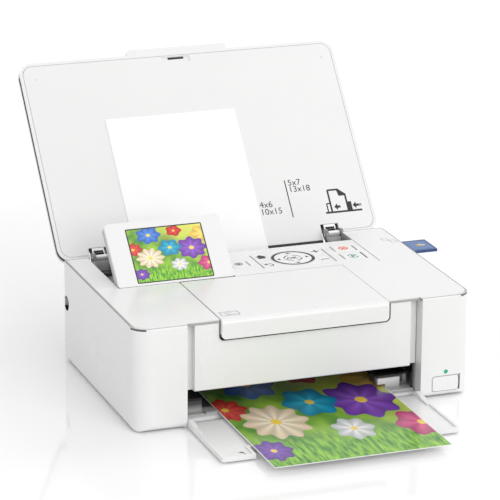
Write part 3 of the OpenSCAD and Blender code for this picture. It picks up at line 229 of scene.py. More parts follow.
def moulding(name, colour, gloss, texture, dark=(), **settings):
    """A moulded or painted surface with its places of painted shade. The settings are further inputs of the
    shader.
    """
    material, tree, shader = new_material(name)
    surface = node(tree, "Group", node_tree=moulded)
    feed(tree, surface, {"Colour": colour, "Gloss": gloss, "Texture": texture})
    tinted = surface.outputs["Colour"]
    for place in dark:
        step = node(tree, "Group", node_tree=recess)
        feed(tree, step, {"Colour": tinted, **place})
        tinted = step.outputs["Colour"]
    feed(tree, shader, {"Base Color": tinted, "Roughness": surface.outputs["Roughness"],
                        "Normal": surface.outputs["Normal"]})
    feed(tree, shader, {socket.replace("_", " "): value for socket, value in settings.items()})
    return material


def casing_plastic(name, *dark, coat=0.15):
    """The white plastic of the casing; its outer side is lightly lacquered."""
    return moulding(name, (0.84, 0.84, 0.836), 0.22, 0.25, dark, Coat_Weight=coat)


def finish(material, *names):
    """Gives pieces of the construction model their material."""
    for name in names:
        slots = frame["nodes"][name].data.materials
        slots.clear()
        slots.append(material)


upward, downward, rearward, rightward = (0, 0, 1), (0, 0, -1), (0, 1, 0), (1, 0, 0)
# Painted shade: the bottom case is darkened above its floor, where the inside of the housing lies in shade.
tray_inside_painted_shade = painted_shade(upward, 0.0034, 0.0036, 0.06)
black_plastic = moulding("black inside", (0.02, 0.02, 0.021), 0.45, 0.5)
plain_steel = moulding("plain steel", (0.55, 0.55, 0.56), 0.3, 0.2, Metallic=1.0)
finish(casing_plastic("bottom case white", tray_inside_painted_shade, coat=0), "bottom_case")
finish(black_plastic, "rubber_feet")
finish(plain_steel, "case_screws")

# ---------------------------------------------------------------------------
# Frame and print works. A folded frame of coated sheet steel stands in the
# bottom case. It holds the steel rail with its black carriage, the rollers,
# the gears with their motors, and the green main board.
# ---------------------------------------------------------------------------
board_green = moulding("board green", (0.02, 0.12, 0.05), 0.25, 0.2)
finish(moulding("coated sheet steel", (0.06, 0.06, 0.065), 0.4, 0.3), "chassis_frame")
finish(plain_steel, "carriage_rail", "carriage_motor", "star_wheels", "feed_motor")
finish(black_plastic, "carriage", "ink_cartridge", "roller_holder", "platen", "timing_belt")
finish(moulding("grey inside", (0.2, 0.2, 0.21), 0.45, 0.5), "print_head", "drive_pulley", "idler_pulley",
       "paper_chute", "pinch_rollers", "feed_roller", "exit_roller", "pickup_roller")
finish(moulding("gear white", (0.75, 0.74, 0.7), 0.35, 0.2), "drive_gear", "exit_idler_gear")
finish(moulding("brass", (0.6, 0.45, 0.18), 0.3, 0.2, Metallic=1.0), "motor_pinion")
finish(board_green, "main_board")

# ---------------------------------------------------------------------------
# Body shell and front panel. One white moulding makes the four walls and both
# front pillars, and the panel between them closes the front above the paper
# slot. A black power socket is set into the left wall near the rear.
# ---------------------------------------------------------------------------
body_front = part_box("body_shell")[0].y
hinge_places = (-0.0945, 0.086)
casing_white = casing_plastic("casing white")
# Painted shade on the body shell: its inside darkens towards the rear behind the paper slot, and the gap
# round the power button, the power socket's hole, the notches below the hinges and a band below the top
# cover's joint are painted dark.
slot_painted_shade = painted_shade(rearward, -0.0735, -0.0665, 0.05,
                     centre=(0, 0, 0.012), half_size=(0.1215, 0.0815, 0.0125))
button_gap_painted_shade = painted_shade(rearward, -0.0819, -0.0817, 0.1,
                    centre=(0.1056, -0.08, 0.0104), half_size=(0.0109, 0.003, 0.0059))
socket_hole_painted_shade = painted_shade(rightward, -0.12445, -0.12435, 0.03,
                     centre=(-0.1225, 0.0717, 0.045), half_size=(0.003, 0.0072, 0.0085))
hinge_notch_painted_shades = [painted_shade(upward, 0.05, 0.051, 0.4, centre=(x, 0.071, 0.069), half_size=(0.012, 0.0108, 0.012))
                 for x in hinge_places]
upper_rim_painted_shade = painted_shade(downward, -0.0748, -0.0745, 0.1,
                   centre=(0, 0, 0.074), half_size=(0.1239, 0.0819, 0.0008))
finish(casing_plastic("body shell white", slot_painted_shade, button_gap_painted_shade, socket_hole_painted_shade, *hinge_notch_painted_shades, upper_rim_painted_shade),
       "body_shell")
finish(casing_white, "front_panel")
finish(moulding("black socket", (0.008, 0.008, 0.008), 0.8, 0.5, Specular_IOR_Level=0.05), "dc_socket")

# ---------------------------------------------------------------------------
# Front tray and bed. The white tray folds down in front and catches the print.
# The bed behind it lies on the bottom case; the front panel's shade is painted on it.
# A small pointer is printed on the tray in grey.
# ---------------------------------------------------------------------------
finish(casing_white, "output_tray")
# Painted shade on the bed: darker towards the rear and above its blocks, in the gap between two blocks,
# upwards on the left and downwards on the right.
side_zone, block_side = (0.04, 0.03, 0.02), (0.0018, 0.0078, 0.0055)
bed_painted_shades = [
    painted_shade(rearward, -0.0618, -0.056, 0.08),
    painted_shade(upward, 0.0114, 0.012, 0.05),
    painted_shade(upward, 0.0005, 0.0095, 0.08, centre=(-0.09, -0.05, 0.01), half_size=side_zone),
    painted_shade(rightward, 0.078, 0.0785, 0.3, centre=(0.0808, -0.055, 0.0115), half_size=block_side),
    painted_shade(downward, -0.010, -0.0035, 0.45, centre=(0.09, -0.05, 0.01), half_size=side_zone)]
finish(moulding("bed white", (0.86, 0.86, 0.856), 0.4, 0.4, bed_painted_shades), "output_bed")


def ink(name, colour):
    """Matt printing ink."""
    return moulding(name, colour, 0.5, 0.4)


def finished_form(name, form):
    """The object that a worked-out form becomes, with its faces turned outwards."""
    bmesh.ops.recalc_face_normals(form, faces=form.faces)
    mesh = bpy.data.meshes.new(name)
    form.to_mesh(mesh)
    form.free()
    return in_scene(name, mesh)


def printed(name, outlines, body, material, place, thickness=0.00004):
    """Flat shapes on a body: outlines of (x, y) points in millimetres, and the function that places them."""
    form = bmesh.new()
    for outline in outlines:
        lower = [form.verts.new(place(x / 1000, y / 1000, 0.0)) for x, y in outline]
        upper = [form.verts.new(place(x / 1000, y / 1000, thickness)) for x, y in outline]
        form.faces.new(upper)
        form.faces.new(lower[::-1])
        for i in range(len(outline)):
            k = (i + 1) % len(outline)
            form.faces.new((lower[i], lower[k], upper[k], upper[i]))
    piece = finished_form(name, form)
    piece.data.materials.append(material)
    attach(piece, body)


def on_tray(x, y, lift):
    """A point of the open tray: metres right of the middle and forward of the body's front."""
    tray_floor = 0.0034
    return Vector((x, body_front - y, tray_floor + lift))


soft_ink = ink("soft grey ink", (0.06, 0.06, 0.063))
pointer = [[(-72.0, 60.0), (-67.4, 63.0), (-68.6, 59.4)], [(-69.4, 66.4), (-64.8, 65.2), (-68.6, 63.2)]]
printed("tray_sign", pointer, "tray", soft_ink, on_tray)

# ---------------------------------------------------------------------------
# Top cover. The white frame round the screen recess, clipped to the top of the
# shell. Shade is painted into the joints along its edges and below its top.
# Two pale signs above the card slot show which way a card goes in.
# ---------------------------------------------------------------------------
# Painted shade on the top cover: darker just below its top and more so deeper inside, in the joint along its
# left side and at its rear edge.
under_edge_painted_shade, inside = painted_shade(downward, -0.0746, -0.074, 0.5), painted_shade(downward, -0.074, -0.067, 0.2)
left_joint_painted_shade = painted_shade(downward, -0.0748, -0.0746, 0.2,
                    centre=(-0.1225, 0, 0.0735), half_size=(0.0007, 0.0815, 0.0012))
rear_edge_painted_shade = painted_shade(rearward, 0.0803, 0.0806, 0.25)
finish(casing_plastic("top cover white", under_edge_painted_shade, inside, left_joint_painted_shade, rear_edge_painted_shade), "top_cover")


def bar(x0, y0, x1, y1, width):
    """A straight stroke as a four-sided outline."""
    direction = Vector((x1 - x0, y1 - y0)).normalized() * width / 2
    return [(x0 + direction.y, y0 - direction.x), (x1 + direction.y, y1 - direction.x),
            (x1 - direction.y, y1 + direction.x), (x0 - direction.y, y0 + direction.x)]


def path(points, width):
    """A line with corners, as a run of straight strokes."""
    return [bar(*a, *b, width) for a, b in zip(points, points[1:])]


def on_top(x, y, lift):
    """A point of the flat top: metres right of the middle and back from the front of the body."""
    top_height = 0.075
    return Vector((x, y + body_front, top_height + lift))


pale_ink = ink("pale grey ink", (0.35, 0.35, 0.355))
card_outline = [(-2.2, -2.8), (2.2, -2.8), (2.2, 1.4), (0.9, 2.8), (-2.2, 2.8), (-2.2, -2.8)]
card_signs = []
for x0, y0 in ((113.8, 134.6), (118.6, 129.4)):
    card_signs += path([(x0 + x, y0 + y) for x, y in card_outline], 0.4)
printed("card_signs", card_signs, "base", pale_ink, on_top)

# ---------------------------------------------------------------------------
# Centre cover. The white flap in the middle of the top, whose chin hangs over
# the front panel. A dark ring on the panel round the chin is painted shade for
# the gap behind the chin. A bare framed mark is printed near its front edge.
# ---------------------------------------------------------------------------
cover_low, cover_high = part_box("centre_cover")
# Painted shade: the cover's sides and rear darken below its top, in the gaps round it.
edge_boxes = [((cover_low.x, 0, 0.06), (0.0012, 0.0755, 0.03)),
              ((cover_high.x, 0, 0.06), (0.0012, 0.0755, 0.03)),
              ((0, cover_high.y, 0.06), (0.07, 0.0012, 0.03))]
cover_edge_painted_shades = [painted_shade(downward, -0.0751, -0.0747, 0.08, *edge) for edge in edge_boxes]
finish(casing_plastic("centre cover white", *cover_edge_painted_shades), "centre_cover")


def on_cover(x, y, lift):
    """A point of the centre cover, which stands a little higher than the top round it."""
    cover_step = 0.0004
    return on_top(x, y, cover_step + lift)


frame_mark = path([(-58.2, 8.6), (-45.4, 8.6), (-45.4, 16.4), (-58.2, 16.4), (-58.2, 8.6)], 0.7)
frame_mark += [bar(-55.8, 10.6, -47.8, 10.6, 0.8), bar(-55.8, 13.8, -50.0, 13.8, 0.8)]
printed("cover_mark", frame_mark, "centre_cover", pale_ink, on_cover)


def on_front(x, z, lift):
    """A point of the front panel: metres right of the middle and up from the table."""
    return Vector((x, panel_face - lift, z))


panel_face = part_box("front_panel")[0].y
# A dark ring on the front panel round the chin, painted shade for the gap behind it; the same black paints
# shade in the lid's groove and the arms' slots.
shade_black = moulding("painted shade black", (0.012, 0.012, 0.012), 0.7, 1.0)
chin_left, chin_right, bend_height, chin_shade_top, chin_shade_thickness = -58.5, 60.5, 62.65, 72.2, 0.00015
chin_shade_lines = []
for r in (3.5, 0.5):
    turns = [math.radians(a) for a in range(0, 91, 15)]
    bend = [(r * math.sin(a), bend_height - r * math.cos(a)) for a in turns]
    chin_shade_lines.append([(chin_left - r, chin_shade_top)] + [(chin_left - x, z) for x, z in reversed(bend)] +
                      [(chin_right + x, z) for x, z in bend] + [(chin_right + r, chin_shade_top)])
outer, inner = chin_shade_lines
chin_shade_ring = [[outer[i], outer[i + 1], inner[i + 1], inner[i]] for i in range(len(outer) - 1)]
printed("chin_gap_shade", chin_shade_ring, "base", shade_black, on_front, chin_shade_thickness)

# ---------------------------------------------------------------------------
# Control panel. A white plate with white keys over the key board, right of the
# screen. Each key's sign is printed on it in dark grey, orange or teal, and
# grey lines on the plate set the keys apart.
# ---------------------------------------------------------------------------
# Painted shade: the plate and the keys darken on their sides below their tops.
finish(casing_plastic("control panel white", painted_shade(downward, -0.0746, -0.0738, 0.1)), "control_panel")
finish(moulding("key white", (0.86, 0.86, 0.855), 0.25, 0.15, [painted_shade(downward, -0.0747, -0.0742, 0.3)]),
       "view_key", "home_key", "back_key", "direction_key", "ok_key", "plus_key", "minus_key", "stop_key",
       "start_key")
finish(board_green, "key_board")


def on_panel(x, y, lift):
    """A point of the key panel: metres right of the middle and back from the front of the body."""
    return Vector((x, y + body_front, panel_top + lift))


def arc(x, y, r, first, last, width):
    """A curved stroke as a run of four-sided outlines."""
    steps = max(2, int(abs(last - first) / 10))
    shapes = []
    for k in range(steps):
        a, b = (math.radians(first + (last - first) * (k + j) / steps) for j in (0, 1))
        shapes.append([(x + (r + w) * math.cos(t), y + (r + w) * math.sin(t))
                       for w, t in ((-width / 2, a), (width / 2, a), (width / 2, b), (-width / 2, b))])
    return shapes


def rectangle(x0, y0, x1, y1):
    """A rectangle's outline."""
    return [(x0, y0), (x1, y0), (x1, y1), (x0, y1)]


def cross(x, y, reach, width, turned=False):
    """Two strokes that cross at a point, upright or turned to an x."""
    if turned:
        return [bar(x - reach, y + reach, x + reach, y - reach, width),
                bar(x - reach, y - reach, x + reach, y + reach, width)]
    return [bar(x - reach, y, x + reach, y, width), bar(x, y - reach, x, y + reach, width)]


panel_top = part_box("control_panel")[1].z
dark_ink = ink("dark grey ink", (0.02, 0.02, 0.022))
panel_lines = [bar(x, front, x, back, width) for x, front, back, width in (
    (6.1, 99.1, 130.2, 0.75), (61.2, 98.1, 128.8, 0.75), (-1.1, 108.2, 118.5, 0.7), (68.8, 119.4, 130.8, 0.7),
    (68.8, 101.2, 112.7, 0.7), (85.2, 117.8, 128.9, 0.8), (85.2, 98.3, 112.5, 1.1))]
printed("panel_ink_lines", panel_lines + arc(-12.5, 114.2, 5.0, 140, 220, 0.7), "base", soft_ink, on_panel)

ring_x, ring_y = 34, 115.2
printed("direction_ring_line", arc(ring_x, ring_y, 14.6, 0, 360, 1.9), "direction_key", dark_ink, on_panel)
arrows = []
for angle, away in ((90, 10.8), (0, 10.6), (270, 10.8), (180, 10.6)):
    ahead = Vector((math.cos(math.radians(angle)), math.sin(math.radians(angle))))
    aside = Vector((-ahead.y, ahead.x))
    middle = Vector((ring_x, ring_y)) + ahead * away
    arrows.append([tuple(middle + ahead * 1.6), tuple(middle - ahead * 0.8 + aside * 2.1),
                   tuple(middle - ahead * 0.8 - aside * 2.1)])
printed("direction_arrows", arrows, "direction_key", dark_ink, on_panel)
ok_ring = []
for middle in (45, 135, 225, 315):
    ok_ring += arc(ring_x, ring_y, 6.2, middle - 32, middle + 32, 0.7)
letter_o = arc(31.6, ring_y, 1.75, 0, 360, 0.75)
letter_k = [bar(34.6, 112.9, 34.6, 117.5, 0.8), bar(34.9, 115.0, 37.0, 117.4, 0.75),
            bar(35.3, 115.6, 37.2, 113.0, 0.75)]
printed("ok_key_sign", ok_ring + letter_o + letter_k, "ok_key", dark_ink, on_panel)

house = [[(8.7, 124.8), (12.8, 128.9), (16.9, 124.8)], rectangle(10.0, 120.6, 15.6, 125.0)]
turned_arrow = arc(12.8, 105.2, 2.4, -120, 120, 0.9)
turned_arrow += [bar(9.6, 107.3, 12.0, 107.3, 0.9), [(8.9, 107.3), (11.0, 109.3), (11.0, 105.3)]]
eye = arc(-8, 114.2, 2.6, 0, 360, 0.8) + arc(-8, 114.2, 0.7, 0, 360, 1.3)
printed("home_sign", house, "home_key", dark_ink, on_panel)
printed("back_sign", turned_arrow, "back_key", dark_ink, on_panel)
printed("plus_sign", cross(55, 124.6, 3.1, 1.1), "plus_key", dark_ink, on_panel)
printed("minus_sign", [bar(51.9, 105.2, 58.1, 105.2, 1.1)], "minus_key", dark_ink, on_panel)
printed("view_sign", eye, "view_key", dark_ink, on_panel)
orange_ink, teal_ink = ink("orange ink", (0.75, 0.11, 0.03)), ink("teal ink", (0.02, 0.22, 0.2))
stop_sign = arc(77, 125, 3.2, 0, 360, 1.0) + cross(77, 125, 1.8, 1.0, turned=True)
start_sign = arc(77, 105.6, 3.7, 20, 160, 0.9) + arc(77, 105.6, 3.7, 200, 340, 0.9)
start_sign += [[(75.6, 108.0), (79.4, 105.6), (75.6, 103.2)]]
printed("stop_sign", stop_sign, "stop_key", orange_ink, on_panel)
printed("start_sign", start_sign, "start_key", teal_ink, on_panel)

# ---------------------------------------------------------------------------
# Power button. A white key in the right pillar with a fine grey line along its
# edge, painted shade for the gap round it, a green lens above it, and a small
# board behind both.
# ---------------------------------------------------------------------------
finish(casing_white, "power_button")
finish(moulding("green lens", (0.02, 0.42, 0.2), 0.15, 0.0), "power_light")
finish(board_green, "power_board")


def on_button(x, z, lift):
    """A point just behind the power button's face: metres right of the middle and up from the table."""
    gap_shade_set_back = 0.0004
    return Vector((x, button_face + gap_shade_set_back - lift, z))


button_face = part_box("power_button")[0].y
# The grey line round the button's edge is painted shade for the gap round it.
left, right, foot, top, bend, stroke = 95.6, 115.5, 5.5, 15.3, 2.0, 0.85
button_gap_shade_line = [bar(left + bend, z, right - bend, z, stroke) for z in (foot, top)]
button_gap_shade_line += [bar(x, foot + bend, x, top - bend, stroke) for x in (left, right)]
for x, z, first in ((right - bend, top - bend, 0), (left + bend, top - bend, 90),
                    (left + bend, foot + bend, 180), (right - bend, foot + bend, 270)):
    button_gap_shade_line += arc(x, z, bend, first, first + 90, stroke)
printed("power_button_gap_shade", button_gap_shade_line, "power_button", soft_ink, on_button)

# ---------------------------------------------------------------------------
# Screen. A white lacquered surround and a grey back shell hold the display,
# which turns up out of the recess. Behind its clear window with a thin black
# border it shows a flower bed while the printer is on.
# ---------------------------------------------------------------------------
dark_glass = moulding("dark glass", (0.01, 0.01, 0.012), 0.1, 0.0)
finish(moulding("screen surround", (0.84, 0.84, 0.84), 0.16, 0.1, Coat_Weight=0.3), "screen_frame")
finish(moulding("screen back shell", (0.5, 0.5, 0.5), 0.3, 0.3), "screen_back")
finish(dark_glass, "screen_display")

# One flower: a head with rounded petals and a yellow heart, laid over the picture below it.
flower, given, result = node_group(
    "Flower head", {"Picture": "Color", "Across": "Float", "Up": "Float", "Centre across": "Float",
                    "Centre up": "Float", "Radius": "Float", "Petals": "Float", "Inner": "Color",
                    "Outer": "Color"}, Picture="Color")
across = number(flower, "SUBTRACT", given["Across"], given["Centre across"])
climb = number(flower, "SUBTRACT", given["Up"], given["Centre up"])
squares = [number(flower, "MULTIPLY", side, side) for side in (across, climb)]
distance = number(flower, "SQRT", number(flower, "ADD", *squares))
angle = number(flower, "ARCTAN2", climb, across)
wave = number(flower, "COSINE", number(flower, "MULTIPLY", angle, given["Petals"]))
reach = number(flower, "DIVIDE", distance, given["Radius"])
petal_edge = number(flower, "MULTIPLY_ADD", wave, 0.1, 0.9)
inside = number(flower, "MULTIPLY", number(flower, "SUBTRACT", petal_edge, reach), 26.0, clamp=True)
vein = number(flower, "MULTIPLY_ADD", wave, 0.16, 0.84)
outwards = number(flower, "POWER", number(flower, "MINIMUM", reach, 1.0), 1.4)
petal = blend_colours(flower, outwards, given["Inner"], given["Outer"])
lightness = number(flower, "MULTIPLY", vein, number(flower, "MULTIPLY_ADD", reach, -0.25, 1.1))
petal = node(flower, "VectorMath", {0: petal, "Scale": lightness}, operation="SCALE").outputs["Vector"]
heart = number(flower, "MULTIPLY", number(flower, "SUBTRACT", 0.17, reach), 30.0, clamp=True)
head = blend_colours(flower, heart, petal, (0.85, 0.6, 0.08))
feed(flower, result, {"Picture": blend_colours(flower, inside, given["Picture"], head)})

# The flower bed: blurred leaves above, lighter towards one corner, grass below, and ten flowers.
picture, _, result = node_group("Flower bed picture", {}, Colour="Color")
spot = node(picture, "UVMap", uv_map="picture").outputs["UV"]
sides = node(picture, "SeparateXYZ", {0: spot}).outputs
blur = node(picture, "TexNoise", {"Vector": spot, "Scale": 5, "Detail": 2}).outputs["Fac"]
drawn_out = node(picture, "Mapping", {"Vector": spot, "Scale": (5.5, 1.2, 1), "Rotation": (0, 0, 0.25)})
blades = node(picture, "TexNoise", {"Vector": drawn_out.outputs["Vector"], "Scale": 9}).outputs["Fac"]
leaf_light = number(picture, "MULTIPLY_ADD", blur, 2.6, -0.8, clamp=True)
leaves = blend_colours(picture, leaf_light, (0.015, 0.16, 0.03), (0.30, 0.52, 0.04))
to_corner = number(picture, "ADD", sides["X"], sides["Y"])
sunny = number(picture, "MULTIPLY_ADD", to_corner, 1.1, -1.15, clamp=True)
leaves = blend_colours(picture, number(picture, "MULTIPLY", sunny, 0.85), leaves, (0.86, 0.78, 0.16))
grass_light = number(picture, "MULTIPLY_ADD", blades, 3.2, -1.1, clamp=True)
grass = blend_colours(picture, grass_light, (0.03, 0.22, 0.02), (0.32, 0.62, 0.05))
grass_edge = number(picture, "MULTIPLY_ADD", blur, 1.2, 1.6)
grass_share = number(picture, "MULTIPLY_ADD", sides["Y"], -7.0, grass_edge, clamp=True)
colour = blend_colours(picture, grass_share, leaves, grass)
for centre, radius, petals, inner_colour, outer_colour in (
        ((0.28, 0.86), 0.17, 7, (0.10, 0.28, 0.75), (0.03, 0.12, 0.5)),
        ((0.98, 0.80), 0.17, 6, (0.95, 0.72, 0.2), (0.85, 0.5, 0.04)),
        ((0.04, 0.62), 0.13, 9, (0.80, 0.10, 0.07), (0.5, 0.01, 0.01)),
        ((0.62, 0.90), 0.11, 5, (0.75, 0.06, 0.05), (0.5, 0.01, 0.01)),
        ((0.80, 0.56), 0.21, 8, (0.30, 0.12, 0.58), (0.14, 0.03, 0.34)),
        ((0.52, 0.60), 0.16, 6, (0.04, 0.45, 0.62), (0.0, 0.22, 0.42)),
        ((0.24, 0.44), 0.19, 10, (0.92, 0.82, 0.62), (0.80, 0.62, 0.42)),
        ((0.60, 0.28), 0.12, 7, (0.86, 0.86, 0.84), (0.55, 0.60, 0.60)),
        ((0.98, 0.26), 0.15, 6, (0.78, 0.12, 0.30), (0.45, 0.03, 0.16)),
        ((0.08, 0.16), 0.11, 8, (0.25, 0.10, 0.55), (0.12, 0.03, 0.32))):
    head = node(picture, "Group", node_tree=flower)
    feed(picture, head, {"Picture": colour, "Across": sides["X"], "Up": sides["Y"],
                         "Centre across": centre[0], "Centre up": centre[1], "Radius": radius,
                         "Petals": petals, "Inner": inner_colour, "Outer": outer_colour})
    colour = head.outputs["Picture"]
feed(picture, result, {"Colour": colour})


def picture_material(name, gloss, rims, rim_colour, lit=0.0, coat=0.0):
    """The picture within a plain rim, whose widths are shares of the sheet's width and length."""
    material, tree, shader = new_material(name)
    drawn = node(tree, "Group", node_tree=picture).outputs["Colour"]
    sides = node(tree, "SeparateXYZ", {0: node(tree, "UVMap", uv_map="picture").outputs["UV"]}).outputs
    within = []
    for axis, rim in zip("XY", rims):
        nearest = number(tree, "MINIMUM", sides[axis], number(tree, "SUBTRACT", 1.0, sides[axis]))
        within.append(number(tree, "GREATER_THAN", nearest, rim))
    shown = blend_colours(tree, number(tree, "MULTIPLY", *within), rim_colour, drawn)
    feed(tree, shader, {"Base Color": shown, "Roughness": gloss, "Coat Weight": coat})
    if lit:
        feed(tree, shader, {"Emission Color": shown, "Emission Strength": lit})
    return material


def thin_sheet(name, origin, along, across, normal, size, thickness, pieces, upper_material, lower_material):
    """A flat sheet of short strips, with the picture's corners on its upper side."""
    width, length = size
    columns = 8
    form = bmesh.new()
    upper, lower = [], []
    for k in range(pieces + 1):
        for row, lift in ((upper, thickness), (lower, 0)):
            start = origin + along * (length * k / pieces) + normal * lift
            row.append([form.verts.new(start + across * (width * i / columns)) for i in range(columns + 1)])
    for one, two, low_one, low_two in zip(upper, upper[1:], lower, lower[1:]):
        for i in range(columns):
            form.faces.new((one[i], one[i + 1], two[i + 1], two[i])).material_index = 0
            form.faces.new((low_one[i], low_two[i], low_two[i + 1], low_one[i + 1])).material_index = 1
        form.faces.new((one[0], two[0], low_two[0], low_one[0])).material_index = 1
        form.faces.new((one[columns], low_one[columns], low_two[columns], two[columns])).material_index = 1
    for i in range(columns):
        form.faces.new((upper[0][i], lower[0][i], lower[0][i + 1], upper[0][i + 1])).material_index = 1
        form.faces.new((upper[-1][i], upper[-1][i + 1], lower[-1][i + 1], lower[-1][i])).material_index = 1
    corners = form.loops.layers.uv.new("picture")
    for face in form.faces:
        for loop in face.loops:
            offset = loop.vert.co - origin
            loop[corners].uv = (offset.dot(across) / width, offset.dot(along) / length)
    piece = finished_form(name, form)
    piece.data.materials.append(upper_material)
    piece.data.materials.append(lower_material)
    return piece


def hinge_point(name):
    """The point of the construction model that a hinge turns about."""
    return Vector(next(joint for joint in frame["joints"] if joint["name"] == name)["pos_m"])


to_right = Vector(rightward)
screen_tilt = math.radians(45.5)
screen_up = Vector((0, math.cos(screen_tilt), math.sin(screen_tilt)))
screen_out = Vector((0, -screen_up.z, screen_up.y))
window_left, window_size = Vector((-0.0915, 0, 0)), (0.0566, 0.043)
window_corner = window_left + hinge_point("screen_hinge") + screen_up * 0.0036 + screen_out * 0.00295
lit_screen = picture_material("lit screen", 0.12, (0.012, 0.016), (0.01, 0.01, 0.01), lit=0.25, coat=0.6)
screen_picture = thin_sheet("screen_picture", window_corner, screen_up, to_right, screen_out, window_size,
                            0.0001, 2, lit_screen, dark_glass)
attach(screen_picture, "screen")

# ---------------------------------------------------------------------------
# Lid. Two white mouldings, a smooth outer shell and a duller inner panel, with
# a dark strip of painted shade in the groove between them. Two white arms on
# steel pins hinge it to the body; their white is lighter than the casing's,
# painted light, and shade is painted into their slots and towards their feet.
# Paper sizes and a guide sign are printed inside in dark grey.
# ---------------------------------------------------------------------------
lid_tilt = math.radians(49.4)
lid_up = Vector((0, math.cos(lid_tilt), math.sin(lid_tilt)))
lid_out = Vector((0, -lid_up.z, lid_up.y))
hinge_line = hinge_point("lid_hinge")
hinge_up, hinge_out = lid_up.dot(hinge_line), lid_out.dot(hinge_line)
# Painted shade: the lid panel darkens below its foot and in the catch's hollow, the arms in their slots and
# towards their feet.
below_foot_painted_shade = painted_shade(-lid_up, 0.0025 - hinge_up, 0.0027 - hinge_up, 0.03)
catch_hollow_painted_shade = painted_shade(-lid_out, 0.0046 - hinge_out, 0.0047 - hinge_out, 0.1,
                      centre=(0, 0.19, 0.188), half_size=(0.0135, 0.012, 0.012))
arm_slot_painted_shade = painted_shade(-lid_out, 0.0037 - hinge_out, 0.0043 - hinge_out, 0.03)
arm_foot_painted_shade = painted_shade(downward, -0.0748, -0.0736, 0.45)
finish(casing_white, "lid_shell")
finish(moulding("lid inner white", (0.83, 0.83, 0.826), 0.38, 0.5, [below_foot_painted_shade, catch_hollow_painted_shade]), "lid_panel")
# The arms' white is lighter than the casing's: painted light.
finish(moulding("hinge arm white", (0.93, 0.93, 0.926), 0.38, 0.5, [arm_slot_painted_shade, arm_foot_painted_shade]), "lid_arms")
finish(plain_steel, "lid_pins")
finish(black_plastic, "lid_catch")


def on_lid(x, along, lift):
    """A point of the open lid: metres right of the middle, up from its visible foot, out of its face."""
    up_lid, out_of_hinge = along + foot_above_hinge, lift - face_below_hinge
    return Vector((x, 0, 0)) + hinge_line + lid_up * up_lid + lid_out * out_of_hinge


foot_above_hinge, face_below_hinge = 0.00874, 0.0034
lid_marks = [bar(59.6, 9.3, 59.6, 39.6, 0.8)]
# paper guide sign: sheet with a folded corner between two guides, and arrows that push the right one
lid_marks += path([(91.2, 10.6), (91.2, 28.2), (98.4, 28.2)], 1.4) + [bar(104.3, 10.6, 104.3, 23.6, 1.4)]
lid_marks += [[(98.0, 28.9), (99.4, 28.9), (105.0, 24.0), (105.0, 23.0), (99.2, 22.8)]]
lid_marks += path([(91.0, 17.4), (88.2, 17.4), (88.2, 10.6)], 1.0)
lid_marks += [[(104.9, 10.4), (104.9, 17.6), (107.8, 17.6), (107.8, 10.4)], bar(86.0, 10.0, 115.2, 10.0, 1.5)]
for x in (94.0, 108.8):
    lid_marks += [[(x - 0.4, 14.2), (x + 2.3, 16.9), (x + 2.3, 11.5)], bar(x + 2.0, 14.2, x + 4.6, 14.2, 1.9)]
lid_marks += [bar(x, 13.2, x, 15.2, 0.6) for x in (114.0, 115.0)]
printed("lid_ink_shapes", lid_marks, "lid", dark_ink, on_lid)

figure_size, ink_depth = 0.0069, 0.00002
lid_facing = Matrix((to_right, lid_up, lid_out)).transposed().to_4x4()
for name, words, x, along in (("size_13x18_inch", "5x7", 61.6, 35.0), ("size_13x18_cm", "13x18", 61.2, 29.6),
                              ("size_9x13_cm", "9x13", 21.4, 45.6), ("size_10x15_inch", "4x6", 35.6, 19.2),
                              ("size_10x15_cm", "10x15", 35.2, 13.4)):
    text = bpy.data.curves.new(name, "FONT")
    text.body = words
    text.size = figure_size
    text.extrude = ink_depth
    text.materials.append(dark_ink)
    drawn = in_scene(name, text)
    drawn.matrix_world = Matrix.Translation(on_lid(x / 1000, along / 1000, ink_depth)) @ lid_facing
    bpy.context.view_layer.update()
    solid = bpy.data.meshes.new_from_object(drawn.evaluated_get(bpy.context.evaluated_depsgraph_get()))
    piece = in_scene(name + "_ink", solid)
    piece.matrix_world = drawn.matrix_world
    bpy.data.objects.remove(drawn)
    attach(piece, "lid")


def groove_strip(name, points, low_lift, high_lift):
    """A dark strip of painted shade in the lid's groove; its points are millimetres right of the middle and
    up from the hinges.
    """
    strip_depth = 0.8
    form = bmesh.new()
    rows = []
    for k, (x, along) in enumerate(points):
        before, after = Vector(points[max(k - 1, 0)]), Vector(points[min(k + 1, len(points) - 1)])
        step = (after - before).normalized() * strip_depth
        edge, inner_edge = (x, along), (x - step.y, along + step.x)
        corners = ((*edge, low_lift), (*edge, high_lift), (*inner_edge, high_lift), (*inner_edge, low_lift))
        rows.append([form.verts.new(on_lid(across / 1000, up / 1000 - foot_above_hinge, lift / 1000))
                     for across, up, lift in corners])
    for one, two in zip(rows, rows[1:]):
        for i in range(4):
            form.faces.new((one[i], one[(i + 1) % 4], two[(i + 1) % 4], two[i]))
    form.faces.new(rows[0])
    form.faces.new(rows[-1][::-1])
    piece = finished_form(name, form)
    piece.data.materials.append(shade_black)
    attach(piece, "lid")


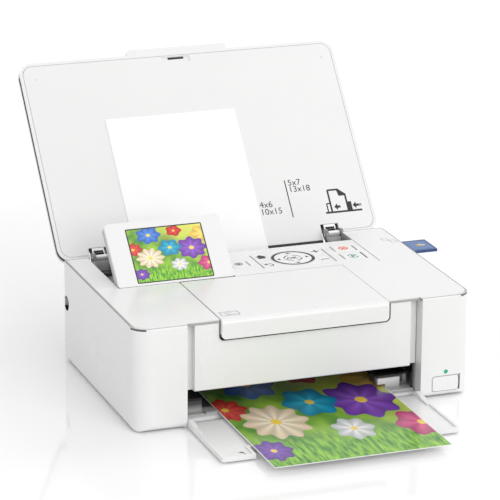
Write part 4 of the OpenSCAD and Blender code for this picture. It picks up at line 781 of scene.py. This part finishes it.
# The strips stand a little in from the lid's edge, turn its lower corners and leave room for each hinge.
left_hinge, right_hinge = (x * 1000 for x in hinge_places)
sunk, corner_radius, hinge_room = 0.08, 9.92, 7.4
side, foot, end = 124.5 - sunk, 1.7 + sunk, 161.7 - sunk - corner_radius
groove_low, groove_high, groove_high_at_foot = -4.56, -1.44, -2.1
turns = [math.radians(a) for a in range(0, 91, 10)]
corner = [(side - corner_radius * (1 - math.sin(a)), foot + corner_radius * (1 - math.cos(a))) for a in turns]
mirrored_corner = [(-x, along) for x, along in reversed(corner)]
left_line = [(-side, end)] + mirrored_corner + [(left_hinge - hinge_room, foot)]
middle_line = [(left_hinge + hinge_room, foot), (right_hinge - hinge_room, foot)]
right_line = [(right_hinge + hinge_room, foot)] + corner + [(side, end)]
# Dark strips of painted shade along the lid's groove.
groove_strip("lid_groove_left", left_line, groove_low, groove_high)
groove_strip("lid_groove_middle", middle_line, groove_low, groove_high_at_foot)
groove_strip("lid_groove_right", right_line, groove_low, groove_high)


def on_shield(x, z, lift):
    """A point of the thin plate that closes the gap below a hinge arm."""
    plate_before_hinge = 0.0034
    return Vector((x, hinge_line.y - plate_before_hinge - lift, z))


# Painted shade: a grey plate closes the gap below each hinge arm, and a dark strip lies across each arm's
# slot.
shield_shade_grey = moulding("shield shade grey", (0.6, 0.6, 0.6), 0.4, 0.4)
shield_foot, shield_top, shield_thickness = 63.5, hinge_line.z * 1000 - 1.1, 0.0006
for name, x in (("left", left_hinge), ("right", right_hinge)):
    shield = rectangle(x - 4.7, shield_foot, x + 4.7, shield_top)
    arm_slot_shade_strip = rectangle(x - 3.6, -3.0, x + 3.6, -1.2)
    printed("hinge_shield_" + name, [shield], "base", shield_shade_grey, on_shield, shield_thickness)
    printed("hinge_gap_" + name, [arm_slot_shade_strip], "lid", shade_black, on_lid)

# ---------------------------------------------------------------------------
# Paper feeder with a blank sheet. Dark grey plastic: a lifting plate under the
# stack and a sliding edge guide. Plain 4 by 6 inch paper stands in it against
# the lid; its lower end stays in the printer.
# ---------------------------------------------------------------------------
finish(moulding("feeder grey", (0.1, 0.1, 0.1), 0.4, 0.4), "hopper_plate", "edge_guide")
paper_white = moulding("paper white", (0.97, 0.97, 0.97), 0.55, 0.3)
paper_thickness = 0.0003
sheet_size, sheet_corner = (0.1016, 0.1524), on_lid(-0.0673, -0.05044, 0.00015)
sheet = thin_sheet("blank_sheet_in_feeder", sheet_corner, lid_up, to_right, lid_out, sheet_size,
                   paper_thickness, 90, paper_white, paper_white)
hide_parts("blank_sheet")
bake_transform(sheet)

# ---------------------------------------------------------------------------
# Printed photo. A glossy sheet lying half out of the slot, printed to its edges
# on the upper side, white below and along the cut edges.
# ---------------------------------------------------------------------------
photo_low, photo_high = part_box("printed_photo")
photo_size = (photo_high.x - photo_low.x, photo_high.y - photo_low.y)
printed_side = picture_material("printed side", 0.18, (0.004, 0.003), (0.86, 0.86, 0.86))
photo = thin_sheet("photo_on_tray", photo_low, Vector(rearward), to_right, Vector(upward), photo_size,
                   paper_thickness, 60, printed_side, paper_white)
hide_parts("printed_photo")
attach(photo, "base")
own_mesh(photo)

# ---------------------------------------------------------------------------
# Memory card. Dark blue plastic in a steel reader, with a lighter printed label
# that carries a small coloured sign.
# ---------------------------------------------------------------------------
finish(plain_steel, "card_reader")
finish(moulding("card blue", (0.02, 0.06, 0.2), 0.3, 0.2), "memory_card")
card_low, card_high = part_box("memory_card")


def on_card(x, y, lift):
    """A point of the card's upper side: metres in from its outer end and back from its front edge."""
    return Vector((card_high.x - x, card_low.y + y, card_high.z + lift))


def on_label(x, y, lift):
    """A point on the label, which is as thick as the ink on it."""
    label_thickness = 0.00004
    return on_card(x, y, label_thickness + lift)


label_blue = moulding("card label", (0.10, 0.19, 0.42), 0.4, 0.2)
printed("card_label", [rectangle(2.0, 2.4, 17.5, 21.2)], "memory_card", label_blue, on_card)
for name, colour, spots in (("card_sign_orange", (0.8, 0.25, 0.03), ((8.2, 10.4), (10.6, 13.2))),
                            ("card_sign_green", (0.2, 0.5, 0.08), ((10.8, 10.6),)),
                            ("card_sign_pale", (0.7, 0.72, 0.75), ((8.4, 13.4), (6.2, 11.8)))):
    dots = [rectangle(x - 1.1, y - 1.1, x + 1.1, y + 1.1) for x, y in spots]
    printed(name, dots, "memory_card", ink(name + "_ink", colour), on_label)
